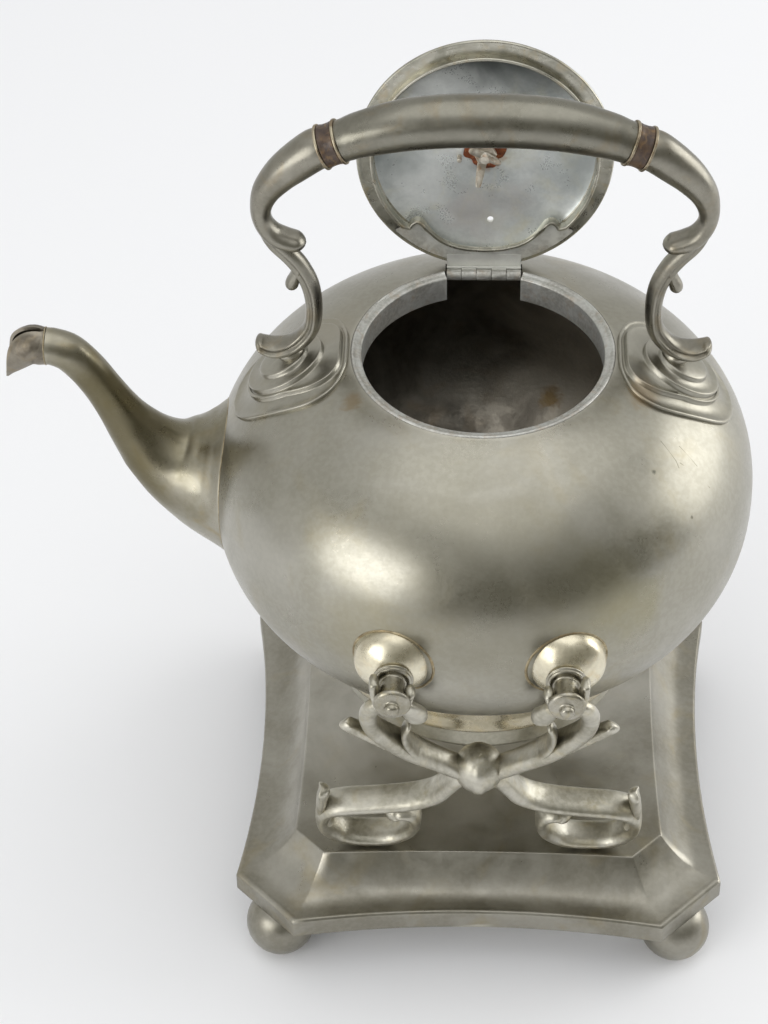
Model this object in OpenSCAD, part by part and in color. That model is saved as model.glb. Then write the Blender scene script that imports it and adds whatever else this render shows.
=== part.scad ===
// Round-bellied kettle that rests by four side pins on a scrolled stand with a square base.
// Millimetres, Z up. The origin is on the ground below the middle of the kettle.
// The spout points to -X, the lid hinge is on the +Y side and the stand faces -Y and +Y.

/* [Kettle body] */
// Largest radius of the belly
belly_r = 95; // [76:1:115]
// Half of the height of the belly curve
belly_half_h = 63.2; // [52:0.2:76]
// Squareness of the belly curve, 2 is an ellipse
belly_pow = 2.25; // [2:0.05:2.6]
// Thickness of the pewter wall
wall = 1.6; // [1.2:0.1:2.5]
// Radius of the foot ring
ring_r = 59; // [48:0.5:64]
// Height of the foot ring
ring_h = 13; // [9:0.5:16]
// Radius of the bottom pan inside the foot ring
pan_r = 55; // [44:0.5:58]
// How far the bottom pan hangs below the foot ring
pan_drop = 14; // [8:0.5:20]

/* [Opening and lid] */
// Outer radius of the rim collar
rim_r = 44.9; // [38:0.1:50]
// Clear radius of the mouth inside the collar
mouth_r = 41.3; // [34:0.1:46]
// Depth of the collar below the rim
collar_h = 10; // [6:0.5:14]
// Height of the lid dome above its flange
lid_dome_h = 5.5; // [4:0.5:12]
// How far the lid stands open
lid_open = 96; // [0:0.5:97]
// Width of the hinge
hinge_w = 26.4; // [20:0.2:32]
// Radius of the hinge knuckles
knuckle_r = 1.9; // [1.6:0.1:2.2]
// Radius of the hinge pin
hinge_pin_r = 0.9; // [0.7:0.05:1.1]

/* [Spout] */
// Radius of the spout where it meets the belly
spout_base_r = 27.5; // [22:0.5:32]
// Radius of the spout at its end
spout_end_r = 6.4; // [5:0.1:8]
// Reach of the spout end beyond the belly
spout_reach = 54; // [44:1:65]
// Rise of the spout end above the widest line of the belly
spout_rise = 58.1; // [48:0.5:66]

/* [Handle] */
// Half width of the handle at its widest
handle_half_w = 76.8; // [66:0.5:84]
// Height of the middle of the grip above the widest line of the belly
grip_rise = 152.2; // [135:1:170]
// Radius of the grip in the middle
grip_r = 8.6; // [7:0.1:10.5]
// Half of the distance between the two insulator rings
grip_half_w = 45.6; // [38:0.5:52]
// Radius of the insulator rings
insulator_r = 7.3; // [6.6:0.1:8.5]
// Length of an insulator ring
insulator_l = 5; // [3.5:0.1:7]
// Radius of the hidden rod through an insulator ring
spigot_r = 2.6; // [2:0.1:3.5]

/* [Tilt pins] */
// Distance of each pin from the middle of the kettle
pin_x = 28.5; // [24:0.5:34]
// Radius of the pin shaft
pin_r = 4; // [3.2:0.1:4.6]
// Free play of a pin in its cradle and in its dome
pin_play = 0.06; // [0.03:0.01:0.1]
// Radius of the dome that carries a pin
dome_r = 13.3; // [11:0.1:15]
// Free length of the shaft between collar and cap
shaft_l = 8.2; // [7:0.2:10]

/* [Stand] */
// Half width of the base at its corners
base_half = 89.8; // [78:0.5:106]
// Half width of the base in the middle of a side
base_waist = 84; // [73:0.5:100]
// Half length of a side between its cut corners
base_side = 67.3; // [58:0.5:78]
// Width of the sloping border around the raised floor
border_w = 18.2; // [14:0.2:22]
// Height of the raised floor above the border edge
floor_rise = 12.9; // [8:0.1:16]
// Height of the upright edge of the base
edge_h = 8.4; // [6:0.2:11]
// Thickness of the base casting
base_t = 2.4; // [1.8:0.1:3.2]
// Radius of a ball foot
ball_r = 12.8; // [10:0.1:15]
// Height of the widest line of the belly above the raised floor
kettle_lift = 127.4; // [118:0.2:140]
// Outward reach of a foot scroll
foot_reach = 59; // [52:0.5:64]
// Thickness of the scroll bars
bar_t = 5.4; // [4.4:0.1:6.4]
// Depth of the scroll bars at the feet
bar_d = 11; // [8:0.2:13]

/* [Hidden] */
$fn = 96;

fit = 0.05;
hinge_gap = 0.3;
ball_z = ball_r - 0.3;
edge_z = ball_z + sqrt(ball_r * ball_r - 50) + 0.25;
rim_top = edge_z + edge_h;
floor_z = rim_top + floor_rise;
belly_z = floor_z + kettle_lift;
foot_corner = base_half - border_w - 4.3;
foot_waist = base_waist - border_w;
foot_side = base_side * 0.84;
ring_top = belly_z + belly_lower(ring_r) - 5.6;
ring_z = ring_top - ring_h;
pan_z = ring_z - pan_drop;
rim_z = belly_z + belly_upper(rim_r + 0.1) - 0.1;
hinge_y = rim_r + 0.3;
hinge_z = rim_z - 3.3;
lid_z = rim_z + 0.8;
lid_r = rim_r - 0.5;
plug_r = mouth_r - 1.7;
pewter = [0.58, 0.57, 0.54];
bright = [0.72, 0.73, 0.72];
brown = [0.27, 0.17, 0.12];

// Height above or below the widest line where the belly has radius r
function belly_upper(r) = belly_half_h * pow(1 - pow(r / belly_r, belly_pow), 1 / belly_pow);
function belly_lower(r) = -belly_upper(r);
// Radius of the belly at height z, grown by g on every side
function belly_at(z, g = 0) =
  (belly_r + g) * pow(max(0, 1 - pow(abs(z - belly_z) / (belly_half_h + g), belly_pow)), 1 / belly_pow);

// Smooth curve through a short list of stations
function between(a, b, c, d, t) =
  0.5 * (2 * b + (c - a) * t + (2 * a - 5 * b + 4 * c - d) * t * t + (3 * b - a - 3 * c + d) * t * t * t);
function smooth(p, k) = concat(
  [for (i = [0:len(p) - 2]) for (j = [0:k - 1])
    between(p[max(i - 1, 0)], p[i], p[i + 1], p[min(i + 2, len(p) - 1)], j / k)],
  [p[len(p) - 1]]);
function heading(p, i) =
  let (a = p[max(i - 1, 0)], b = p[min(i + 1, len(p) - 1)], d = [b[0] - a[0], b[1] - a[1]])
  d / norm(d);

// Round bar along stations [x, z, half thickness, half width] in the XZ plane
module limb(p, n = 16) {
  m = len(p);
  points = [for (i = [0:m - 1]) let (h = heading(p, i)) for (k = [0:n - 1])
    [p[i][0] - h[1] * p[i][2] * cos(360 * k / n), p[i][3] * sin(360 * k / n),
     p[i][1] + h[0] * p[i][2] * cos(360 * k / n)]];
  faces = concat(
    [[for (k = [n - 1:-1:0]) k]],
    [for (i = [0:m - 2]) for (k = [0:n - 1]) let (a = i * n, b = a + n, l = (k + 1) % n)
      each [[a + k, b + l, b + k], [a + k, a + l, b + l]]],
    [[for (k = [0:n - 1]) (m - 1) * n + k]]);
  polyhedron(points, faces, convexity = 6);
}

// Flat bar outline along stations [x, y, half thickness]
module bar2d(p) {
  m = len(p);
  polygon(concat(
    [for (i = [0:m - 1]) let (h = heading(p, i)) [p[i][0] - h[1] * p[i][2], p[i][1] + h[0] * p[i][2]]],
    [for (i = [m - 1:-1:0]) let (h = heading(p, i)) [p[i][0] + h[1] * p[i][2], p[i][1] - h[0] * p[i][2]]]));
}

// Belly outline as half profile, from radius lo at the bottom to radius hi at the top
function belly_side(lo, hi, g, n) =
  let (c = belly_half_h + g, b = belly_r + g,
       za = -c * pow(1 - pow(lo / b, belly_pow), 1 / belly_pow),
       zb = c * pow(1 - pow(hi / b, belly_pow), 1 / belly_pow),
       a0 = asin(za / c), a1 = asin(zb / c))
  [for (i = [0:n]) let (z = c * sin(a0 + (a1 - a0) * i / n))
    [b * pow(1 - pow(abs(z) / c, belly_pow), 1 / belly_pow), belly_z + z]];

// Solid belly grown by g, used to trim what is soldered onto it
module belly_solid(g = 0) {
  side = belly_side(20, 20, g, 100);
  rotate_extrude() polygon(concat([[0, side[0][1]]], side, [[0, side[100][1]]]));
}

// Kettle

module kettle_body() {
  cove = belly_lower(ring_r - 0.6) + belly_z;
  outer = belly_side(ring_r - 0.6, rim_r + 0.1, 0, 76);
  inner = belly_side(pan_r - 1.2, rim_r + 0.1, -wall, 40);
  neck = [[pan_r, ring_top], [pan_r, ring_top + 1.4], [pan_r + 0.5, ring_top + 2.9],
          [pan_r + 1.5, cove - 1.2]];
  color(pewter)
  difference() {
    rotate_extrude() polygon(concat(neck, outer, [for (i = [40:-1:0]) inner[i]],
      [[pan_r - wall, ring_top + 2.4], [pan_r - wall, ring_top]]));
    translate([-belly_r, 0, belly_z - 1]) rotate([0, 90, 0])
      cylinder(r = spout_base_r * 0.5, h = 60, center = true);
    translate([-hinge_w / 2 - hinge_gap, rim_r - 6, rim_z - 7])
      cube([hinge_w + 2 * hinge_gap, hinge_y + 4.5 - rim_r + 6, 12]);
  }
}

module bottom_pan() {
  color(bright)
  rotate_extrude() polygon([
    [0, pan_z], [pan_r - 3.4, pan_z], [pan_r - 2, pan_z + 0.9], [pan_r - 0.4, ring_z - 1.2],
    [pan_r - 0.02, ring_z], [pan_r - 0.02, ring_top - 0.03], [pan_r - wall, ring_top - 0.03],
    [pan_r - wall, ring_z], [pan_r - wall - 1.8, pan_z + wall + 0.6], [0, pan_z + wall + 0.6]]);
}

module foot_ring() {
  color(pewter)
  rotate_extrude() polygon([
    [pan_r + 0.03, ring_z], [ring_r - 1, ring_z], [ring_r - 0.2, ring_z + 0.6], [ring_r, ring_z + 2.2],
    [ring_r, ring_top - 2.4], [ring_r - 0.3, ring_top - 1], [ring_r - 1.2, ring_top - 0.2],
    [ring_r - 2.4, ring_top], [pan_r + 0.03, ring_top]]);
}

module rim_collar() {
  color(bright)
  difference() {
    rotate_extrude() polygon([
      [mouth_r, rim_z - collar_h], [mouth_r + 0.9, rim_z - collar_h], [mouth_r + wall, rim_z - collar_h + 1],
      [mouth_r + wall, rim_z - 1.8], [rim_r, rim_z - 1.8], [rim_r, rim_z + 0.1], [rim_r - 0.5, rim_z + 0.5],
      [rim_r - 1.2, rim_z + 0.4], [rim_r - 1.6, rim_z], [mouth_r + 0.3, rim_z], [mouth_r, rim_z - 0.4]]);
    translate([-hinge_w / 2 - hinge_gap, mouth_r * 0.7, rim_z - collar_h - 1])
      cube([hinge_w + 2 * hinge_gap, 30, collar_h + 4]);
  }
}

// Where the spout ends and its beak begins
seam = [-belly_r - spout_reach, belly_z + spout_rise];

// Spout centre line, [x, z, radius, radius] from the belly outwards
function spout_line(inset) =
  let (x0 = -belly_r, z0 = belly_z - 1.2, kx = spout_reach / 54, kz = spout_rise / 58.1,
       base = spout_base_r, tip = spout_end_r,
       p = [[3.4, 0, base], [-1.6, 0.2, base * 0.88], [-8, 2.2, base * 0.73], [-15.4, 8, base * 0.555],
            [-22, 16, base * 0.42], [-27.4, 24.2, tip * 1.4], [-31.4, 31.8, tip * 1.17],
            [-35.6, 40.2, tip * 1.05], [-40.6, 49.2, tip * 1.03], [-46.6, 56, tip * 1.03], [-53, 59, tip]])
  concat(smooth([for (q = p) [x0 + q[0] * kx, z0 + q[1] * kz, q[2] - inset, q[2] - inset]], 3),
    [[seam[0], seam[1], tip - inset, tip - inset]]);

module spout() {
  n = 28;
  outer = spout_line(0);
  inner = spout_line(wall);
  m = len(outer);
  // the first ring lies on the belly, the others stand square to the centre line
  function ring(p, i) = let (h = heading(p, i)) [for (k = [0:n - 1])
    let (c = p[i][2] * cos(360 * k / n), s = p[i][3] * sin(360 * k / n))
    i == 0
      ? [-sqrt(pow(belly_at(p[0][1] - c), 2) - s * s) - 0.12, s, p[0][1] - c]
      : [p[i][0] - h[1] * c, s, p[i][1] + h[0] * c]];
  points = concat([for (i = [0:m - 1]) each ring(outer, i)], [for (i = [m - 1:-1:0]) each ring(inner, i)]);
  faces = [for (i = [0:2 * m - 1]) for (k = [0:n - 1]) let (j = (i + 1) % (2 * m), l = (k + 1) % n)
    each [[i * n + k, j * n + l, j * n + k], [i * n + k, i * n + l, j * n + l]]];
  color(pewter) polyhedron(points, faces, convexity = 6);
}

// Hooked beak, a gutter whose mouth opens downwards; each station is [x, z, radius, half of the mouth angle]
module spout_lip() {
  way = seam - [-belly_r - 53 * spout_reach / 54, belly_z - 1.2 + 59 * spout_rise / 58.1];
  x0 = seam[0] + 0.06 * way[0];
  z0 = seam[1] + 0.06 * way[1];
  r = spout_end_r;
  p = concat([[x0, z0, r, 4]], smooth([
    [x0 + way[0], z0 + way[1], r + 0.2, 7], [x0 - 4.4, z0 + 0.6, r + 0.4, 16],
    [x0 - 7.4, z0 - 1, r + 0.1, 52], [x0 - 10.6, z0 - 4.7, r - 1.2, 78],
    [x0 - 13.4, z0 - 9, r - 3.2, 88], [x0 - 14.8, z0 - 12.6, r - 5.2, 90]], 3));
  n = 18;
  m = len(p);
  s = 2 * n + 2;
  points = [for (i = [0:m - 1])
    let (h = heading(p, i), w = min(wall * 0.8, p[i][2] * 0.45), gap = p[i][3])
    for (k = [0:s - 1])
    let (j = k <= n ? k : s - 1 - k, a = gap + (360 - 2 * gap) * j / n, q = p[i][2] - (k <= n ? 0 : w))
    [p[i][0] + h[1] * q * cos(a), q * sin(a), p[i][1] - h[0] * q * cos(a)]];
  cap = [for (k = [0:n - 1]) each [[k, k + 1, s - 2 - k], [k, s - 2 - k, s - 1 - k]]];
  faces = concat(
    cap,
    [for (i = [0:m - 2]) for (k = [0:s - 1]) let (a = i * s, b = a + s, l = (k + 1) % s)
      each [[a + k, b + k, b + l], [a + k, b + l, a + l]]],
    [for (f = cap) [for (g = [2:-1:0]) f[g] + (m - 1) * s]]);
  color(pewter) polyhedron(points, faces, convexity = 6);
}

// Handle

// Shield outline of the lowest step of a handle plate, as x outwards and y
function shield(k, w) =
  let (x = belly_r * 0.48, l = 40,
       half = [[0, 0], [0.6, 9.6], [4.6, 18.4], [12.6, 21.8], [23, 19.8], [33.2, 14.6], [38.2, 8.4], [l, 0]],
       up = smooth(half, 3))
  concat([for (q = up) [x + 7.4 + (q[0] - 7.4) * k, q[1] * w]],
         [for (i = [len(up) - 2:-1:1]) [x + 7.4 + (up[i][0] - 7.4) * k, -up[i][1] * w]]);

plate_x = belly_r * 0.69;
plate_top = belly_z + belly_upper(plate_x) + 7.4;

module handle_plate() {
  color(pewter)
  difference() {
    union() {
      intersection() {
        belly_solid(1.5);
        translate([0, 0, belly_z]) linear_extrude(100) polygon(shield(1, 1));
      }
      intersection() {
        belly_solid(3.2);
        translate([0, 0, belly_z]) linear_extrude(100) polygon(shield(0.8, 0.72));
      }
      translate([plate_x, 0, plate_top]) rotate_extrude() polygon([
        [0, 0], [5.4, 0], [7.6, -0.7], [9.4, -1.9], [10.8, -3.6], [11.7, -5.4], [12.2, -7.2],
        [12.2, -14], [0, -14]]);
    }
    belly_solid(0.06);
  }
}

module handle_plate_left() mirror([1, 0, 0]) handle_plate();
module handle_plate_right() handle_plate();

// Where the insulator ring sits on the handle and how it leans
grip_z = belly_z + grip_rise;
ring_x = grip_half_w + insulator_l / 2 + 1;
ring_tilt = 21.5;
ring_at = [ring_x, 0, grip_z - 9.4];

module on_handle() translate(ring_at) rotate([0, 90 + ring_tilt, 0]) children();

// Upper scroll of the handle, then the grooved leg with its leaf foot
module handle_arm() {
  w = handle_half_w;
  e = insulator_l / 2 + 1.05;
  sx = ring_at[0] + e * cos(ring_tilt);
  sz = ring_at[2] - e * sin(ring_tilt);
  scroll = smooth([
    [sx - 0.8 * cos(ring_tilt), sz + 0.8 * sin(ring_tilt), 6.8, 6.8], [w - 21.8, grip_z - 11.9, 6.8, 6.8],
    [w - 16.2, grip_z - 16.4, 6.5, 6.5], [w - 10.9, grip_z - 21.4, 5.8, 5.8],
    [w - 6.2, grip_z - 27.8, 4.7, 5], [w - 4.1, grip_z - 34.4, 3.6, 4.5], [w - 4.5, grip_z - 40, 3.2, 4.3],
    [w - 7.3, grip_z - 44.8, 3.4, 4.4], [w - 11.4, grip_z - 47, 3.7, 4.6],
    [w - 15.2, grip_z - 47.4, 3.3, 4.2], [w - 17.6, grip_z - 47, 1.2, 1.6]], 4);
  fx = plate_x;
  fz = plate_top + fit;
  leg = smooth([
    [w - 3.2, grip_z - 40, 0.8, 1.6], [w - 5.2, grip_z - 44.4, 2.2, 3.2], [w - 8.4, grip_z - 49, 3.1, 3.7],
    [w - 12.6, grip_z - 53.8, 3.2, 3.8], [w - 16, grip_z - 58.9, 3.2, 3.8], [w - 18.9, grip_z - 66, 3.1, 3.8],
    [w - 20, grip_z - 74.4, 2.9, 3.8], [fx - 8, fz + 12.6, 2.9, 3.9], [fx - 5, fz + 7, 3, 4.2],
    [fx, fz + 3.4, 2.7, 5.2], [fx + 5, fz + 2.4, 2.2, 6.2], [fx + 9.3, fz + 3.8, 1.5, 5],
    [fx + 11, fz + 4.8, 0.7, 3]], 3);
  spur = smooth([
    [w - 15.6, grip_z - 59.6, 2, 2.6], [w - 13.4, grip_z - 63, 1.8, 2.2],
    [w - 11.4, grip_z - 66, 2, 2.2], [w - 10.6, grip_z - 68, 0.5, 0.6]], 3);
  color(pewter)
  difference() {
    union() {
      limb(scroll, 20);
      limb(leg, 16);
      limb(spur, 12);
      translate([fx, 0, fz]) cylinder(r = 5, h = 3);
    }
    on_handle() cylinder(r = spigot_r + 0.04, h = insulator_l + 15, center = true);
    on_handle() cylinder(r = 12, h = insulator_l + 2.1, center = true);
  }
}

module handle_arm_left() mirror([1, 0, 0]) handle_arm();
module handle_arm_right() handle_arm();

module handle_grip() {
  e = insulator_l / 2 + 1.05;
  sx = ring_at[0] - e * cos(ring_tilt);
  sz = ring_at[2] + e * sin(ring_tilt);
  half = [[sx + 0.8 * cos(ring_tilt), sz - 0.8 * sin(ring_tilt), 6.9, 6.9],
          [sx - 2 * cos(ring_tilt), sz + 2 * sin(ring_tilt), 7, 7], [sx * 0.84, grip_z - 5.2, 7.5, 7.5],
          [sx * 0.57, grip_z - 1.9, grip_r - 0.3, grip_r - 0.3],
          [sx * 0.28, grip_z - 0.3, grip_r - 0.05, grip_r - 0.05]];
  all = concat([for (q = half) [-q[0], q[1], q[2], q[3]]], [[0, grip_z, grip_r, grip_r]],
               [for (i = [4:-1:0]) half[i]]);
  color(pewter)
  difference() {
    limb(smooth(all, 4), 24);
    for (s = [0, 1]) mirror([s, 0, 0]) on_handle() union() {
      cylinder(r = spigot_r + 0.04, h = insulator_l + 15, center = true);
      cylinder(r = 12, h = insulator_l + 2.1, center = true);
    }
  }
}

module insulator_rings() {
  color(brown)
  for (s = [0, 1]) mirror([s, 0, 0]) on_handle() difference() {
    cylinder(r = insulator_r, h = insulator_l, center = true);
    cylinder(r = spigot_r + 0.04, h = 30, center = true);
  }
}

module handle_ferrules() {
  color(bright)
  for (s = [0, 1]) mirror([s, 0, 0]) on_handle() for (t = [-1, 1])
    translate([0, 0, t * (insulator_l / 2 + 0.52)]) difference() {
      cylinder(r = insulator_r + 0.35, h = 0.98, center = true);
      cylinder(r = spigot_r + 0.04, h = 30, center = true);
    }
}

module handle_spigots() {
  color(bright)
  for (s = [0, 1]) mirror([s, 0, 0]) on_handle() cylinder(r = spigot_r, h = insulator_l + 14, center = true);
}

// Tilt pins

pin_z = belly_z - 1.5;
dome_y = sqrt(pow(belly_at(pin_z), 2) - pin_x * pin_x) + 6.6;
collar_y = dome_y + 2.4;
cap_y = collar_y + shaft_l;
tenon_l = 5;

module at_pin(s, t) translate([s * pin_x, 0, pin_z]) rotate([t > 0 ? -90 : 90, 0, 0]) children();

module pin_domes() {
  color(pewter)
  difference() {
    for (s = [-1, 1]) for (t = [-1, 1]) at_pin(s, t) rotate_extrude() polygon([
      [pin_r * 0.7 + pin_play, dome_y - 22], [dome_r, dome_y - 22],
      [dome_r, dome_y - 7.6], [dome_r - 0.6, dome_y - 6],
      [dome_r - 1.9, dome_y - 4.1], [dome_r - 3.8, dome_y - 2.3], [dome_r - 5.8, dome_y - 0.9],
      [dome_r - 7.4, dome_y - 0.15], [dome_r - 8.2, dome_y], [pin_r * 0.7 + pin_play, dome_y]]);
    belly_solid(0.06);
  }
}

module pin() {
  rotate_extrude() polygon([
    [0, dome_y - tenon_l], [pin_r * 0.7, dome_y - tenon_l],
    [pin_r * 0.7, dome_y + 0.05], [6.2, dome_y + 0.05],
    [6.8, dome_y + 0.7], [6.8, dome_y + 1.5], [6.1, collar_y], [pin_r, collar_y], [pin_r, cap_y],
    [5.7, cap_y], [6.2, cap_y + 0.5], [6.2, cap_y + 1.6], [5.2, cap_y + 2.5], [2.6, cap_y + 3],
    [2.3, cap_y + 4.4], [1.2, cap_y + 5.3], [0, cap_y + 5.6]]);
}

module pins_left() color(pewter) for (t = [-1, 1]) at_pin(-1, t) pin();
module pins_right() color(pewter) for (t = [-1, 1]) at_pin(1, t) pin();

// Lid and hinge

module lid_pose()
  translate([0, hinge_y, hinge_z]) rotate([-lid_open, 0, 0]) translate([0, -hinge_y, -hinge_z]) children();

// Knuckle k of five, counted from -X
module knuckle(k)
  translate([-hinge_w / 2 + (k + 0.5) * hinge_w / 5, hinge_y, hinge_z]) rotate([0, 90, 0]) difference() {
    cylinder(r = knuckle_r, h = hinge_w / 5 - 0.3, center = true);
    cylinder(r = hinge_pin_r + fit, h = hinge_w, center = true);
  }

module hinge_leaf() {
  color(bright)
  union() {
    for (k = [0, 2, 4]) {
      knuckle(k);
      translate([-hinge_w / 2 + k * hinge_w / 5 + 0.15, hinge_y + 0.4, hinge_z - knuckle_r]) difference() {
        cube([hinge_w / 5 - 0.3, 5.6, 1]);
        translate([-1, -0.4, knuckle_r]) rotate([0, 90, 0]) cylinder(r = hinge_pin_r + fit, h = hinge_w);
      }
    }
    intersection() {
      difference() {
        belly_solid(-wall - 0.05);
        belly_solid(-wall - 1.4);
      }
      translate([-hinge_w / 2 + 0.15, hinge_y + 4.7, hinge_z - 12]) cube([hinge_w - 0.3, 7.6, 20]);
    }
  }
}

module hinge_pin() {
  color(bright)
  translate([0, hinge_y, hinge_z]) rotate([0, 90, 0])
    cylinder(r = hinge_pin_r, h = hinge_w - 0.3, center = true);
}

module lid_shell() {
  top = lid_z + 1.3 + lid_dome_h;
  rise = top - lid_z - 2.6;
  outside = [for (i = [0:12]) let (a = 90 * i / 12) [(plug_r + 0.6) * cos(a), lid_z + 2.6 + rise * sin(a)]];
  inside = [for (i = [12:-1:0]) let (a = 90 * i / 12) [(plug_r - 0.7) * cos(a), lid_z + 1.4 + rise * sin(a)]];
  rotate_extrude() polygon(concat(
    [[lid_r - 0.3, lid_z], [lid_r, lid_z + 0.4], [lid_r, lid_z + 1.2], [lid_r - 0.7, lid_z + 1.7],
     [lid_r - 1.6, lid_z + 1.2], [plug_r + 1.1, lid_z + 1.2]],
    outside, inside, [[plug_r - 0.7, lid_z]]));
}

module lid() {
  color(bright)
  lid_pose() difference() {
    lid_shell();
    cylinder(r = 2.1, h = 400);
    translate([-30, hinge_y - 2.7, lid_z - 1]) cube([60, 10, 10]);
    translate([2.1, 27.5, 0]) cylinder(r = 1.1, h = 400);
    translate(peg_at) cylinder(r = 0.85, h = 400);
  }
}

strap_half = 43;
peg_at = [-8.8, 3, 0];
module behind(r, a) polygon(concat([[0, 0]], [for (i = [-6:6]) [r * sin(a * i / 6), r * cos(a * i / 6)]]));

module lid_plug_ring() {
  color(bright)
  lid_pose() difference() {
    translate([0, 0, lid_z - 3.4]) difference() {
      cylinder(r = plug_r, h = 3.37);
      translate([0, 0, -1]) cylinder(r = plug_r - 1.3, h = 6);
    }
    translate([0, 0, lid_z - 5]) linear_extrude(6) behind(60, strap_half + 0.6);
  }
}

module lid_strap() {
  color(bright)
  lid_pose() union() {
    translate([0, 0, lid_z - 0.48]) linear_extrude(0.45) difference() {
      intersection() {
        circle(r = lid_r - 1.6);
        behind(60, strap_half);
      }
      translate([0, -11]) circle(r = plug_r + 8.6);
    }
    translate([-hinge_w / 2 + 0.15, lid_r - 5, lid_z - 0.48])
      cube([hinge_w - 0.3, hinge_y - lid_r + 4.7, 0.45]);
    translate([-hinge_w / 2 + 0.15, hinge_y - 1.4, hinge_z + knuckle_r + 0.25])
      cube([hinge_w - 0.3, 1.1, lid_z - hinge_z - knuckle_r - 0.28]);
    for (k = [1, 3]) {
      knuckle(k);
      translate([-hinge_w / 2 + k * hinge_w / 5 + 0.15, hinge_y - 1.4, hinge_z + 1.2])
        cube([hinge_w / 5 - 0.3, 1.1, 1.4]);
    }
  }
}

knob_z = lid_z + 1.3 + lid_dome_h;
module lid_knob() {
  color(pewter)
  lid_pose() translate([0, 0, knob_z - 0.3]) difference() {
    rotate_extrude() polygon([
      [0, 0.35], [7.6, 0.35], [8.2, 0.8], [7.6, 1.8], [5.2, 2.7], [3.6, 4.2], [3.2, 6], [3.9, 7.4], [6, 8.8],
      [8.2, 10.8], [9.3, 13.4], [9, 16.2], [7.4, 18.8], [5, 20.4], [3, 21.1], [2.6, 22.4], [1.5, 23.4],
      [0, 23.8]]);
    cylinder(r = 1.54, h = 12, center = true);
  }
}

module knob_stud() {
  color(bright) lid_pose() translate([0, 0, knob_z - 9.2]) cylinder(r = 1.5, h = 14.6);
}

module knob_washer() {
  color(bright)
  lid_pose() translate([0, 0, knob_z - 2.3]) difference() {
    union() {
      cylinder(r = 7.9, h = 0.9);
      rotate([0, 0, 102]) translate([4, -1.5, 0.1]) rotate([0, 38, 0]) cube([9.6, 3, 0.8]);
    }
    translate([0, 0, -5]) cylinder(r = 1.7, h = 20);
    translate([0, 0, 0.93]) cylinder(r = 20, h = 20);
  }
}

module knob_nut() {
  color(bright)
  lid_pose() translate([0, 0, knob_z - 5.4]) difference() {
    union() {
      cylinder(r = 4.3, h = 3, $fn = 6);
      rotate([0, 0, 40]) translate([-6.4, -0.8, -1.6]) cube([12.8, 1.6, 3]);
    }
    translate([0, 0, -5]) cylinder(r = 1.52, h = 20);
  }
}

module knob_peg() {
  color(bright) lid_pose() translate([peg_at[0], peg_at[1], knob_z - 4.6]) cylinder(r = 0.8, h = 5.2);
}

// Stand

// Plan of the base between the outer edge (f = 0) and the raised floor (f = 1), inset by g
function plan(f, g) =
  let (a = base_half + (foot_corner - base_half) * f - g, m = base_waist + (foot_waist - base_waist) * f - g,
       b = base_side + (foot_side - base_side) * f - g * 0.41, n = 8)
  [for (q = [0:3]) for (i = [0:n]) let (t = 2 * i / n - 1, x = t * b, y = -(m + (a - m) * t * t))
    [x * cos(90 * q) - y * sin(90 * q), x * sin(90 * q) + y * cos(90 * q)]];

module base() {
  levels = [[0, -edge_h], [0, -1.1], [0.04, -0.3], [0.1, 0], [0.28, 0.5], [0.45, 1.7], [0.62, 4], [0.78, 7.2],
            [0.9, 10.2], [1, floor_rise]];
  n = 36;
  m = len(levels);
  up = [for (l = levels) each [for (p = plan(l[0], 0)) [p[0], p[1], rim_top + l[1]]]];
  under = [for (i = [m - 1:-1:0]) let (l = levels[i])
    each [for (p = plan(l[0], base_t)) [p[0], p[1], rim_top + l[1] - (i == 0 ? 0 : base_t)]]];
  points = concat(up, under, [[0, 0, floor_z], [0, 0, floor_z - base_t]]);
  faces = concat(
    [for (k = [0:n - 1]) [2 * m * n, (m - 1) * n + (k + 1) % n, (m - 1) * n + k]],
    [for (i = [0:2 * m - 1]) if (i != m - 1) for (k = [0:n - 1]) let (j = (i + 1) % (2 * m), l = (k + 1) % n)
      each [[i * n + k, j * n + k, j * n + l], [i * n + k, j * n + l, i * n + l]]],
    [for (k = [0:n - 1]) [2 * m * n + 1, m * n + k, m * n + (k + 1) % n]]);
  color(pewter)
  difference() {
    polyhedron(points, faces, convexity = 6);
    at_feet() cylinder(r = 2, h = 30, center = true);
  }
}

ball_xy = (base_half + base_side) / 2 - 5;
module ball_feet() {
  under_border = rim_top - base_t - 0.35;
  color(pewter)
  for (q = [0:3]) rotate([0, 0, 90 * q]) translate([ball_xy, ball_xy, 0]) union() {
    intersection() {
      translate([0, 0, ball_z]) sphere(r = ball_r);
      cylinder(r = ball_r + 1, h = edge_z - 0.12);
    }
    translate([0, 0, ball_z]) cylinder(r = 3.6, h = under_border - ball_z);
  }
}

foot_y = foot_waist - 0.8;
cradle_front = cap_y - 0.6;
cradle_d = shaft_l - 1.9;
lean = atan((cradle_front - foot_y) / (pin_z - floor_z));
frame_v = (pin_z - floor_z) / cos(lean);
scroll_x = foot_reach - 19;
boss_v = frame_v * 0.466;
pad_y = foot_y - 5.5;

module at_feet() for (s = [-1, 1]) for (t = [-1, 1]) translate([s * scroll_x, t * pad_y, floor_z]) children();

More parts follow.
